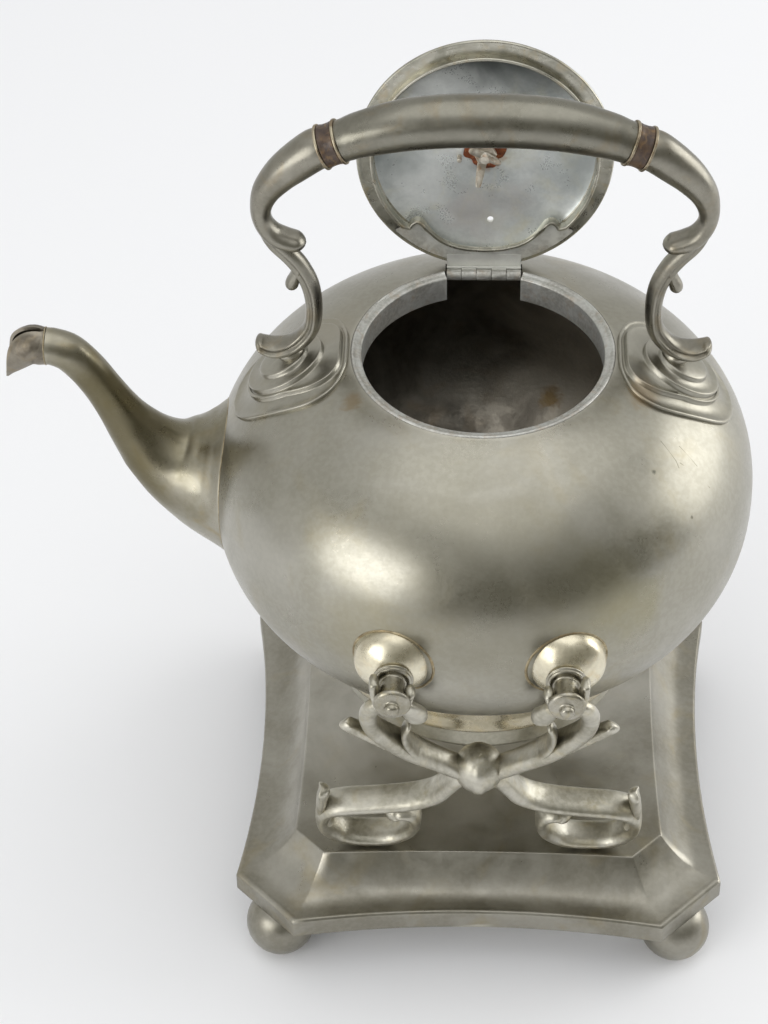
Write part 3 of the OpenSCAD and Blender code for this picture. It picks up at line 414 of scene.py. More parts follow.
finishes = {
    "belly": metalFinish("bellyPewter", dict(
        tint=(0.40, 0.385, 0.335), shade=(0.34, 0.325, 0.27), warm=(0.36, 0.32, 0.22), warmth=0.55, patch=48,
        grain=0.9, rough=(0.29, 0.38), dentHeight=0.5, dent=34, grainHeight=0.004, scratch=0.004, wear=0.3,
        cuts=scratchMarks, cutColour=(0.16, 0.15, 0.11), cutWidth=0.13,
        stainsAndPaintedLight=[
            dict(at=(42.3, -81.4, 192.1), radius=34, colour=(0.3, 0.275, 0.165), strength=0.55),
            dict(at=(-39.6, -86.2, 176.9), radius=30, colour=(0.32, 0.29, 0.19), strength=0.4),
            dict(at=(53.1, -18.0, 225.9), radius=10, colour=(0.33, 0.25, 0.15), strength=0.55),
            dict(at=(-43.5, -25.4, 228.1), radius=6, colour=(0.3, 0.22, 0.12), strength=0.6),
            dict(at=(56.8, -45.7, 216.4), radius=1.3, colour=(0.1, 0.1, 0.08), strength=0.8),
            dict(at=(69.9, -51.7, 201.7), radius=1.0, colour=(0.12, 0.11, 0.08), strength=0.8),
            dict(at=(-52.8, 14.1, 226.5), radius=22, colour=(0.36, 0.325, 0.25), strength=0.4),
            dict(at=(8, -80, 203), radius=60, colour=(0.25, 0.235, 0.18), strength=0.6),
        ])),
    "spout": metalFinish("spoutPewter", dict(
        tint=(0.37, 0.35, 0.29), shade=(0.29, 0.27, 0.20), warm=(0.33, 0.275, 0.165), warmth=0.75, patch=26,
        grain=0.9, rough=(0.28, 0.38), dentHeight=0.4, dent=22, grainHeight=0.003, scratch=0.004, wear=0.3,
        stainsAndPaintedLight=[dict(at=(-126, -4, 204), radius=58, colour=(0.125, 0.105, 0.052), strength=0.8)])),
    # the inside's darker tint paints the shade inside the kettle, and the wide pale patch is painted light on
    # the back right of the inside wall; the small brown patch is a stain
    "inside": metalFinish("kettleInside", dict(
        tint=(0.27, 0.25, 0.21), shade=(0.14, 0.125, 0.10), warm=(0.24, 0.19, 0.13), warmth=0.6, patch=26,
        grain=1.4, rough=(0.36, 0.52), grainHeight=0.05, wear=0.0, metal=0.85,
        stainsAndPaintedLight=[dict(at=(56, 64, 158), radius=90, colour=(0.95, 0.86, 0.72), strength=0.95),
               dict(at=(26.1, 79.1, 139.8), radius=7, colour=(0.50, 0.34, 0.16), strength=0.9)])),
    "lip": metalFinish("beakPewter", dict(
        tint=(0.26, 0.235, 0.19), shade=(0.16, 0.14, 0.11), warm=(0.30, 0.24, 0.15), patch=9, grain=0.5,
        rough=(0.36, 0.5), grainHeight=0.03, scratch=0.02, dentHeight=0.2, dent=8)),
    "solder": metalFinish("solderLine", dict(
        tint=(0.42, 0.36, 0.24), shade=(0.22, 0.18, 0.11), warm=(0.30, 0.20, 0.09), patch=6, grain=0.4,
        rough=(0.4, 0.55), grainHeight=0.05, wear=0.2, hollowDarkening=0.2)),
    "handle": metalFinish("handlePewter", dict(
        tint=(0.30, 0.285, 0.24), shade=(0.235, 0.22, 0.18), warm=(0.28, 0.235, 0.16), patch=18, grain=0.7,
        rough=(0.28, 0.38), grainHeight=0.006, scratch=0.006, dentHeight=0.25, dent=14, wear=0.75,
        hollowDarkening=0.85)),
    "grip": metalFinish("gripPewter", dict(
        tint=(0.25, 0.24, 0.20), shade=(0.195, 0.185, 0.15), warm=(0.245, 0.205, 0.14), patch=18, grain=0.7,
        rough=(0.28, 0.38), grainHeight=0.004, scratch=0.005, dentHeight=0.25, dent=14, wear=0.75,
        hollowDarkening=0.85)),
    "insulator": metalFinish("insulatorBrown", dict(
        metal=0.0, tint=(0.10, 0.062, 0.035), shade=(0.045, 0.028, 0.02), warm=(0.20, 0.12, 0.045),
        warmth=0.8, patch=5, grain=0.5, rough=(0.28, 0.5), grainHeight=0.05, dentHeight=0.3, dent=3,
        wear=0.5)),
    "ferrule": metalFinish("ferruleMetal", dict(
        tint=(0.46, 0.41, 0.30), shade=(0.24, 0.19, 0.13), warm=(0.30, 0.20, 0.11), patch=6, grain=0.5,
        rough=(0.3, 0.45), grainHeight=0.03, dentHeight=0.1, dent=3, wear=0.9)),
    "golden": metalFinish("goldenPewter", dict(
        tint=(0.50, 0.455, 0.345), shade=(0.42, 0.38, 0.275), warm=(0.50, 0.42, 0.26), patch=18, grain=0.6,
        rough=(0.24, 0.34), grainHeight=0.004, scratch=0.005, dentHeight=0.2, dent=12, wear=0.6, hollowDarkening=0.3)),
    "dome": metalFinish("domePewter", dict(
        tint=(0.75, 0.70, 0.55), shade=(0.58, 0.53, 0.40), warm=(0.64, 0.53, 0.33), patch=12, grain=0.6,
        rough=(0.27, 0.36), grainHeight=0.002, scratch=0.003, dentHeight=0.2, dent=10, wear=0.6, hollowDarkening=0.4)),
    "pan": metalFinish("panMetal", dict(
        tint=(0.60, 0.58, 0.50), shade=(0.44, 0.42, 0.34), warm=(0.50, 0.44, 0.30), patch=30, grain=0.8,
        rough=(0.3, 0.45), grainHeight=0.02, wear=0.3)),
    "rim": metalFinish("rimMetal", dict(
        metal=0.6, tint=(0.55, 0.55, 0.515), shade=(0.41, 0.40, 0.36), warm=(0.46, 0.385, 0.30), warmth=0.75,
        patch=9, grain=0.5, rough=(0.34, 0.5), grainHeight=0.05, dentHeight=0.3, dent=6, wear=0.8, hollowDarkening=0.8,
        speckle=0.4)),
    # the lid's pale tint and its first five patches are painted reflections, pale where the open lid mirrors
    # a bright room and dark where it mirrors a dark one; the last two patches are rust round the knob
    "lid": metalFinish("lidMetalPaintedReflections", dict(
        metal=0.62, tint=(0.80, 0.82, 0.79), shade=(0.60, 0.63, 0.61), warm=(0.74, 0.71, 0.54), warmth=0.6,
        patch=24, grain=0.6, rough=(0.28, 0.38), grainHeight=0.002, dentHeight=0.5, dent=16, scratch=0.003,
        wear=0.7,
        stainsAndPaintedLight=[dict(at=whenOpen(2, -50, lid["z"] + 2), radius=60, colour=(0.09, 0.10, 0.095), strength=0.97),
               dict(at=whenOpen(-42, -4, lid["z"] + 2), radius=34, colour=(0.27, 0.30, 0.29), strength=0.85),
               dict(at=whenOpen(42, 0, lid["z"] + 2), radius=28, colour=(0.36, 0.39, 0.38), strength=0.75),
               dict(at=whenOpen(-4, 25, lid["z"] + 3), radius=17, colour=(0.66, 0.62, 0.59), strength=0.55),
               dict(at=whenOpen(10, 20, lid["z"] + 4), radius=12, colour=(0.64, 0.61, 0.58), strength=0.45),
               dict(at=whenOpen(1, 1, knobFoot), radius=9.5, colour=(0.40, 0.21, 0.08), strength=0.9),
               dict(at=whenOpen(0.5, 0.5, knobFoot), radius=7.6, colour=(0.20, 0.055, 0.02),
                    strength=0.95)])),
    "lidEdge": metalFinish("lidEdgeMetal", dict(
        tint=(0.47, 0.455, 0.39), shade=(0.34, 0.33, 0.275), warm=(0.46, 0.385, 0.25), patch=10, grain=0.6,
        rough=(0.26, 0.40), grainHeight=0.03, dentHeight=0.35, dent=7, wear=0.8, hollowDarkening=0.8)),
    "fitting": metalFinish("fittingMetal", dict(
        metal=0.75, tint=(0.62, 0.58, 0.50), shade=(0.38, 0.33, 0.26), warm=(0.42, 0.25, 0.13), warmth=0.8,
        patch=4, grain=0.4, rough=(0.34, 0.5), grainHeight=0.05, dentHeight=0.2, dent=2.5, wear=0.6)),
    "rust": metalFinish("rustStain", dict(
        metal=0.25, tint=(0.24, 0.06, 0.018), shade=(0.10, 0.03, 0.014), warm=(0.40, 0.15, 0.05), patch=4,
        grain=0.5, rough=(0.65, 0.85), grainHeight=0.15, dentHeight=0.3, dent=2, wear=0.2)),
    "pin": metalFinish("pinPewter", dict(
        tint=(0.43, 0.41, 0.35), shade=(0.30, 0.28, 0.22), warm=(0.40, 0.35, 0.22), patch=8, grain=0.5,
        rough=(0.26, 0.38), grainHeight=0.02, dentHeight=0.12, dent=4, wear=0.9, hollowDarkening=0.9)),
    "stand": metalFinish("standPewter", dict(
        tint=(0.52, 0.50, 0.43), shade=(0.38, 0.36, 0.29), warm=(0.46, 0.41, 0.28), patch=14, grain=0.75,
        rough=(0.34, 0.46), grainHeight=0.075, dentHeight=0.25, dent=9, wear=0.7, hollowDarkening=0.8, speckle=0.3)),
    "base": metalFinish("basePewter", dict(
        tint=(0.345, 0.33, 0.285), shade=(0.265, 0.25, 0.205), warm=(0.32, 0.28, 0.19), patch=34, grain=0.9,
        rough=(0.30, 0.42), grainHeight=0.004, dentHeight=0.45, dent=30, scratch=0.005, wear=0.9, hollowDarkening=0.6,
        # the wide pale patch over the middle is painted light on the base's floor, where the kettle shades it
        stainsAndPaintedLight=[dict(at=(0, 0, 44.7), radius=100, colour=(0.62, 0.60, 0.54), strength=0.9)])),
    "screw": metalFinish("screwSteel", dict(
        tint=(0.45, 0.44, 0.42), shade=(0.30, 0.28, 0.25), warm=(0.32, 0.22, 0.13), patch=3, grain=0.4,
        rough=(0.3, 0.5), grainHeight=0.03)),
}
print("finishes ready:", len(finishes))


# Kettle body

belly = dict(radius=95.0, halfHeight=63.2, squareness=2.25, middle=172.12, wall=1.6, footRadius=58.4,
             neckRadius=55.0, mouthRadius=45.0, spoutHole=13.5, notchY=(38.9, 49.7), notchZ=(222.7, 236.0))
ringTop = 114.06


def bellyRise(r, grow=0.0):
    p = belly["squareness"]
    return (belly["halfHeight"] + grow) * max(0.0, 1 - (r / (belly["radius"] + grow)) ** p) ** (1 / p)


def bellyWidth(z, grow=0.0):
    p = belly["squareness"]
    share = abs(z - belly["middle"]) / (belly["halfHeight"] + grow)
    return (belly["radius"] + grow) * max(0.0, 1 - share ** p) ** (1 / p)


def bellyLine(low, high, grow, steps):
    # the belly's side from radius low at the bottom to radius high at the top
    tall = belly["halfHeight"] + grow
    a = math.asin(-bellyRise(low, grow) / tall)
    b = math.asin(bellyRise(high, grow) / tall)
    heights = [tall * math.sin(a + (b - a) * i / steps) for i in range(steps + 1)]
    return [(bellyWidth(belly["middle"] + h, grow), belly["middle"] + h) for h in heights]


def makeBody():
    neck = belly["neckRadius"]
    cove = belly["middle"] - bellyRise(belly["footRadius"])
    outside = bellyLine(belly["footRadius"], belly["mouthRadius"], 0, 110)
    inside = bellyLine(neck - 1.2, belly["mouthRadius"], -belly["wall"], 60)
    foot = curveThrough([(neck, ringTop + 0.03), (neck + 0.05, ringTop + 1.5), (neck + 0.6, ringTop + 3),
                         (neck + 1.6, cove - 1.3), outside[0]], 4)
    profile = foot + outside[1:] + list(reversed(inside))
    profile += [(neck - 1.6, ringTop + 2.4), (neck - 1.6, ringTop + 0.03)]
    body = makePiece("bellyShell", turned(profile, 144), "kettle", ["belly", "inside"],
                     ["kettle_body"])
    # the hole into the spout and the notch for the hinge are cut out
    r, near, long = belly["spoutHole"], 65, 60
    hole = turned([(0.001, 0), (r, 0), (r, long), (0.001, long)], 48)
    hole = moved(hole, lambda x, y, z: (-z - near, y, belly["middle"] - 1 + x))
    half = hinge["width"] / 2 + 0.3
    notch = [(x, y, z) for x, y, z in zip((-half, half), belly["notchY"], belly["notchZ"])]
    carved(body, [block(*notch), hole])
    for face in body.data.polygons:
        middle = face.center / mm
        width = math.hypot(middle.x, middle.y)
        if width < bellyWidth(middle.z, -belly["wall"] / 2) and (middle.z >= cove or width < neck - 0.6):
            face.material_index = 1
    print("body made")


def makeFootAndPan():
    ring = dict(radius=59.0, height=13.0, inner=55.03)
    z = ringTop - ring["height"]
    r = ring["radius"]
    profile = [(ring["inner"], z), (r - 1, z), (r - 0.1, z + 0.9), (r, z + 2.4), (r - 0.35, z + 6.5),
               (r, ringTop - 2.6), (r - 0.5, ringTop - 0.9), (r - 2.4, ringTop), (ring["inner"], ringTop)]
    makePiece("footRing", turned(softened(profile, 0.7), 144), "kettle", "golden",
              ["foot_ring"])
    pan = dict(radius=54.98, drop=14.0, wall=1.6)
    low = z - pan["drop"]
    p = pan["radius"]
    side = [(0.001, low + 0.6), (20, low + 0.25), (p - 6, low), (p - 2.6, low + 0.5), (p - 0.8, low + 2.4),
            (p - 0.4, z - 1.2), (p, z), (p, ringTop - 0.03), (p - pan["wall"], ringTop - 0.03),
            (p - pan["wall"], z), (p - 3.4, low + pan["wall"] + 1.2), (0.001, low + pan["wall"] + 0.6)]
    coats = ["pan", "inside"]
    bottom = makePiece("bottomPan", turned(softened(side, 1.2, closed=False), 120), "kettle", coats,
                       ["bottom_pan"])
    for face in bottom.data.polygons:
        outwards = face.normal.x * face.center.x + face.normal.y * face.center.y
        if face.normal.z > 0.3 or outwards < 0 and face.normal.z > -0.3:
            face.material_index = 1


def makeRim():
    rim = dict(outer=44.9, inner=41.3, top=229.69, depth=10.0, gap=13.6, gapRadius=43.5)
    o, i, z = rim["outer"], rim["inner"], rim["top"]
    profile = [(i, z - rim["depth"]), (i + 0.9, z - rim["depth"]), (i + 1.6, z - rim["depth"] + 1),
               (i + 1.6, z - 1.8), (o, z - 1.8), (o, z + 0.15), (o - 0.5, z + 0.55), (o - 1.2, z + 0.42),
               (o - 1.65, z - 0.02), (i + 0.7, z - 0.12), (i, z - 0.6)]
    away = math.degrees(math.asin(rim["gap"] / rim["gapRadius"]))
    collar = turned(softened(profile, 0.35), 132, span=(90 + away, 450 - away))
    makePiece("rimCollar", collar, "kettle", "rim", ["rim_collar"])
    print("foot, pan and rim made")


# Spout with its beak

spout = dict(baseRadius=27.5, endRadius=6.4, wall=1.5, rootZ=170.92, beadRadius=0.26, blend=22.0, tipX=-149.0,
             tipZ=230.22)


def makeSpout():
    x0, z0, base, tip = -belly["radius"], spout["rootZ"], spout["baseRadius"], spout["endRadius"]
    line = [(0, 0, base), (-2.2, 0.2, base * 0.91), (-5.6, 1.3, base * 0.815), (-9.8, 3.7, base * 0.715),
            (-15.4, 8, base * 0.575), (-22, 16, base * 0.42), (-27.4, 24.2, tip * 1.4),
            (-31.4, 31.8, tip * 1.17), (-35.6, 40.2, tip * 1.05), (-40.6, 49.2, tip * 1.03),
            (-46.4, 56.4, tip * 1.03), (-52, 59.15, tip)]
    line = curveThrough([(x0 + x, z0 + z, r) for x, z, r in line], 6) + [(spout["tipX"], spout["tipZ"], tip)]
    angles = around(48)

    def ring(i, inset):
        x, z, r = line[i]
        r -= inset
        way = heading(line, i)
        share = min(1.0, max(0.0, (x0 - x) / spout["blend"]))
        points = []
        for a in angles:
            across, tall = r * math.sin(a), r * math.cos(a)
            sunk = -math.sqrt(bellyWidth(line[0][1] - tall) ** 2 - across ** 2) - x0
            lying = (x + sunk + (0.3 if i == 0 else 0), across, z - tall)
            square = (x - way[1] * tall, across, z + way[0] * tall)
            points.append(tuple(p + (q - p) * share for p, q in zip(lying, square)))
        return points

    outer = [ring(i, 0) for i in range(len(line))]
    inner = [ring(i, spout["wall"]) for i in range(len(line) - 1, -1, -1)]
    makePiece("spoutTube", skinned(outer + inner, looped=True), "kettle", "spout", ["spout"])
    seamPath = [(x - 0.2, y, z) for x, y, z in outer[0]]
    makePiece("spoutSeam", bead(seamPath, spout["beadRadius"], looped=True), "kettle", "solder")

    # the beak is a gutter whose mouth opens downwards, from (x, z, radius, half of the mouth angle)
    x, z, r = spout["tipX"] - 0.12, spout["tipZ"] - 0.02, tip
    beak = [(x - 2, z + 0.12, r + 0.25, 5), (x - 4.4, z + 0.6, r + 0.4, 12), (x - 7.4, z - 1, r + 0.1, 26),
            (x - 10.6, z - 4.7, r - 1.2, 50), (x - 13.4, z - 9, r - 3.2, 76),
            (x - 14.8, z - 12.6, r - 5.2, 90)]
    beak = [(x, z, r + 0.05, 0.5)] + curveThrough(beak, 6)
    side = 26
    rings = []
    for i, (u, v, radius, mouth) in enumerate(beak):
        way = heading(beak, i)
        wall = min(1.25, radius * 0.45)
        turns = [math.radians(mouth + (360 - 2 * mouth) * k / side) for k in range(side + 1)]
        ringPoints = [(radius, a) for a in turns] + [(radius - wall, a) for a in reversed(turns)]
        rings.append([])
        for q, a in ringPoints:
            level = q * math.cos(a)
            rings[-1].append((u + way[1] * level, q * math.sin(a), v - way[0] * level))
    makePiece("spoutBeak", skinned(rings), "kettle", "lip", ["spout_lip"], sharp=50)
    joint = [(x + 0.1, (r + 0.05) * math.sin(a), z + (r + 0.05) * math.cos(a)) for a in angles]
    makePiece("beakSeam", bead(joint, 0.22, looped=True), "kettle", "solder")
    print("spout made")


# Handle

grip = dict(middle=324.32, radius=8.6, insulatorRadius=7.3, insulatorLength=5.0, ferrule=1.12, tilt=21.5,
            ringX=49.1, ringZ=314.92, armX=76.8)
plate = dict(x=65.55, footZ=228.55, shieldX=45.6, steps=(1.3, 2.8, 4.4, 5.9), discs=(12.2, 7.6))


def onHandle(side):
    # the insulator's axis as a placing for (radius parts a and b, distance along)
    tilt = math.radians(grip["tilt"])

    def place(a, b, along):
        x = grip["ringX"] + along * math.cos(tilt) + a * math.sin(tilt)
        z = grip["ringZ"] - along * math.sin(tilt) + a * math.cos(tilt)
        return side * x, b, z
    return place


def handleEnd(way):
    # where the arm (way 1) or the bow (way -1) ends beside the insulator
    start = grip["insulatorLength"] / 2 + grip["ferrule"]
    tilt = math.radians(grip["tilt"])
    return grip["ringX"] + way * start * math.cos(tilt), grip["ringZ"] - way * start * math.sin(tilt)


def makePlates():
    half = [(0, 0), (0.6, 9.6), (4.6, 18.4), (12.6, 21.8), (23, 19.8), (33.2, 14.6), (38.2, 8.4), (40, 0)]
    half = curveThrough(half, 8)
    tall = belly["halfHeight"]

    def reach(angle, shrink, narrow):
        # distance from the plate's middle to the shield's outline in one direction
        c, s = math.cos(angle), abs(math.sin(angle))
        outline = [(plate["shieldX"] + 7.4 + (x - 7.4) * shrink - plate["x"], y * narrow) for x, y in half]
        for (ax, ay), (bx, by) in zip(outline, outline[1:]):
            across = c * (by - ay) - s * (bx - ax)
            if abs(across) < 1e-9:
                continue
            far = (ax * (by - ay) - ay * (bx - ax)) / across
            t = (c * ay - s * ax) / -across
            if far > 0 and -1e-6 <= t <= 1 + 1e-6:
                return far
        return 12.0

    def onBelly(x, y, height):
        r = math.hypot(x, y)
        p = belly["squareness"]
        z = bellyRise(r)
        outwards = (r / belly["radius"]) ** (p - 1) / belly["radius"]
        slope = Vector((x / r * outwards, y / r * outwards, (z / tall) ** (p - 1) / tall))
        return tuple(Vector((x, y, belly["middle"] + z)) + slope.normalized() * height)

    one, two, three, four = plate["steps"]
    wide, small = plate["discs"]
    rings = []
    for a in around(120):
        far, near = reach(a, 1, 1), reach(a, 0.8, 0.72)
        near = min(near, far - 2.2)
        near = max(near, wide + 1.6)
        stations = [(far, -1.2), (far, 0.7), (far - 0.1, one - 0.2), (far - 0.3, one - 0.03),
                    (far - 0.8, one), (far - 1.3, one - 0.3), ((far + near) / 2, one - 0.5),
                    (near + 0.5, one - 0.45), (near + 0.1, one - 0.2), (near, two - 0.35),
                    (near - 0.12, two - 0.08), (near - 0.4, two), (near - 0.9, two - 0.2),
                    ((near + wide) / 2 + 0.2, two - 0.45), (wide + 0.4, two - 0.4), (wide + 0.08, two - 0.1),
                    (wide, three - 0.4), (wide - 0.15, three - 0.08), (wide - 0.5, three),
                    (wide - 1.4, three - 0.25), (small + 0.6, three - 0.2), (small + 0.1, three + 0.1),
                    (small, four - 0.45), (small - 0.3, four - 0.1), (small - 0.9, four),
                    (small - 2.4, four + 0.2), (2.0, four + 0.25), (0.3, four + 0.25)]
        rings.append([onBelly(plate["x"] + r * math.cos(a), r * math.sin(a), h) for r, h in stations])
    shape = skinned([list(column) for column in zip(*rings)])
    for side, word in ((-1, "Left"), (1, "Right")):
        makePiece("handlePlate" + word, moved(shape, lambda x, y, z: (side * x, y, z)), "kettle", "belly",
                  ["handle_plate_" + word.lower()], sharp=60)


def makeArms():
    w, top = grip["armX"], grip["middle"]
    sx, sz = handleEnd(1)
    scroll = [(sx, sz, 6.75, 6.75)] + shifted([(-21.8, -11.9, 6.8, 6.8), (-16.2, -16.4, 6.5, 6.5),
                                               (-10.9, -21.4, 5.8, 5.8), (-6.2, -27.8, 4.7, 5),
                                               (-4.1, -34.4, 3.6, 4.5), (-4.5, -40, 3.2, 4.6),
                                               (-7.3, -44.8, 3.3, 4.9), (-11.4, -47.4, 3.4, 5),
                                               (-15.2, -48.4, 3, 4.7), (-18.4, -48.8, 2.2, 3.8)], w, top)
    scroll = roundedOff(curveThrough(scroll, 6), 3.2)
    fx, fz = plate["x"], plate["footZ"]
    leg = shifted([(-3.2, -38, 0.8, 1.6), (-5, -43.4, 2.2, 3.2), (-8.2, -48.6, 3.1, 3.7),
                   (-12.6, -53.8, 3.2, 3.8), (-16, -58.9, 3.2, 3.8), (-18.9, -66, 3.1, 3.8),
                   (-20, -74.4, 2.9, 3.8)], w, top)
    leg += shifted([(-8, 12.6, 2.9, 3.9), (-5, 7, 3, 4.2), (-0.4, 3.3, 2.7, 5.2), (5, 2.2, 2.1, 6),
                    (9.3, 3.4, 1.7, 5.4), (11.4, 5.2, 1.5, 4.4)], fx, fz)
    leg = roundedOff(curveThrough(leg, 6), 2.0)
    spur = shifted([(-16.2, -58.2, 2.2, 2.8), (-14.4, -62.4, 2.0, 2.6), (-13.1, -65.6, 2.3, 2.7),
                    (-12.8, -68.4, 2.2, 2.5)], w, top)
    spur = roundedOff(curveThrough(spur, 6), 2.2)
    sole = [(0.3, -1.2), (4.4, -1.2), (4.9, -0.4), (4.6, 1.6), (3, 3), (0.3, 3)]
    for side, word in ((-1, "Left"), (1, "Right")):
        upright = lambda u, v, deep: (side * u, deep, v)
        shape = joined(bar(scroll, upright, 36), bar(leg, upright, 40, groove=(68, 15, 0.30)),
                       bar(spur, upright, 20),
                       moved(turned(sole, 32), lambda x, y, z: (side * (fx + x), y, fz + z)))
        makePiece("handleArm" + word, shape, "kettle", "handle",
                  ["handle_arm_" + word.lower()], sharp=55)


def makeGrip():
    r, top = grip["radius"], grip["middle"]
    sx, sz = handleEnd(-1)
    half = [(sx, sz, 6.9), (sx - 2, sz + 0.8, 7), (sx * 0.84, top - 5.2, 7.5),
            (sx * 0.57, top - 1.9, r - 0.3), (sx * 0.28, top - 0.3, r - 0.05), (0, top, r)]
    line = [(-x, z, t, t) for x, z, t in half] + [(x, z, t, t) for x, z, t in reversed(half[:-1])]
    shape = bar(curveThrough(line, 8), lambda u, v, deep: (u, deep, v), 48)
    makePiece("gripBar", shape, "kettle", "grip", ["handle_grip"], sharp=50)
    long, wide = grip["insulatorLength"] / 2, grip["insulatorRadius"]
    drum = [(2.7, -long), (wide, -long), (wide - 0.35, -1), (wide - 0.35, 1), (wide, long), (2.7, long)]
    drum = softened(drum, 0.5)
    ringBody = softened([(2.7, -0.49), (wide + 0.35, -0.49), (wide + 0.35, 0.49), (2.7, 0.49)], 0.4, 5)
    drums, beads = [], []
    for side in (-1, 1):
        place = onHandle(side)
        drums.append(moved(turned(drum, 64), place))
        for step in (-1, 1):
            beads.append(moved(turned([(r, z + step * (long + 0.52)) for r, z in ringBody], 64), place))
    makePiece("insulators", joined(*drums), "kettle", "insulator", ["insulator_rings"])
    makePiece("ferruleRings", joined(*beads), "kettle", "ferrule", ["handle_ferrules"])
    print("handle made")


# Tilt pins

pins = dict(x=28.5, z=170.62, radius=4.0, domeRadius=13.3, domeY=97.2, collarY=99.6, capY=107.8)


def atPin(side, front):
    return lambda x, y, z: (side * pins["x"] + x, front * z, pins["z"] + y)


def makePins():
    y, r = pins["domeY"], pins["domeRadius"]
    bell = [(r + 0.5, y - 13), (r + 0.15, y - 10.5), (r, y - 8), (r - 0.5, y - 6), (r - 1.8, y - 4.1),
            (r - 3.8, y - 2.3), (r - 5.8, y - 0.95), (r - 7.4, y - 0.25), (r - 8.6, y - 0.02), (0.4, y)]
    # the inner end follows the middle of the belly's wall, so that it doesn't show inside
    bell = [(r * share, 0) for share in (0.03, 0.35, 0.7, 1)] + curveThrough(bell[2:], 4)
    domes, edges = [], []

    def circle(side, radius):
        return [(side * pins["x"] + radius * math.cos(a), pins["z"] + radius * math.sin(a))
                for a in around(72)]

    for side in (-1, 1):
        for front in (-1, 1):
            rings = []
            for q, level in bell:
                rings.append([])
                for x, z in circle(side, q):
                    wall = math.sqrt(bellyWidth(z) ** 2 - x * x) - belly["wall"] / 2
                    rings[-1].append((x, front * max(level, wall), z))
            domes.append(skinned(rings))
            seam = [(x, front * (math.sqrt(bellyWidth(z) ** 2 - x * x) - 0.3), z) for x, z in circle(side, r)]
            edges.append(bead(seam, 0.6, looped=True))
    makePiece("pinDomes", joined(*domes), "kettle", "dome", ["pin_domes"])
    makePiece("domeSeams", joined(*edges), "kettle", "solder")
    t, c, d = pins["radius"], pins["collarY"], pins["capY"]
    shape = [(0.01, y - 4.9), (2.8, y - 4.9), (2.8, y + 0.06), (6.3, y + 0.06), (6.85, y + 0.55),
             (6.85, y + 1.1), (6.2, y + 1.45), (6.35, y + 1.9), (5.6, c), (t + 0.5, c + 0.02), (t, c + 0.5),
             (t, d - 0.02), (5.6, d), (6.2, d + 0.4), (6.25, d + 1.4), (5.7, d + 2.1), (4.4, d + 2.5),
             (2.9, d + 2.75), (2.5, d + 3.2), (2.45, d + 4.2), (1.9, d + 5.1), (0.9, d + 5.5),
             (0.01, d + 5.58)]
    pin = turned(softened(shape, 0.3, closed=False), 56, closed=False)
    for side, body, node in ((-1, "tilt_pins", "pins_left"), (1, "kettle", "pins_right")):
        pair = joined(moved(pin, atPin(side, -1)), moved(pin, atPin(side, 1)))
        makePiece("tiltPins" + ("Left" if side < 0 else "Right"), pair, body, "pin", [node],
                  sharp=50)
    print("pins made")


# Lid, made closed and then swung open about its hinge

def swungOpen(shape):
    return moved(shape, whenOpen)


flatPoints = 49


def plugPath():
    # wall round the recess: a long arc, a small hook on each side and a flatter arc beside the hinge,
    # which takes up the first flatPoints points and their mirrored ones at the end
    flat = [(0, 37.2), (6.5, 36.7), (12.5, 34.9), (17, 31.9), (19.8, 28.4), (21.5, 25.8), (23.3, 24.7),
            (25, 25.6), (26.0, 27.4)]
    flat = curveThrough(flat, 6)
    start = math.degrees(math.atan2(flat[-1][0], flat[-1][1])) + 3.5
    arc = []
    for k in range(101):
        a = math.radians(start + (360 - 2 * start) * k / 100)
        arc.append((lid["pathRadius"] * math.sin(a), lid["pathRadius"] * math.cos(a)))
    return flat + arc + [(-x, y) for x, y in reversed(flat[1:])]


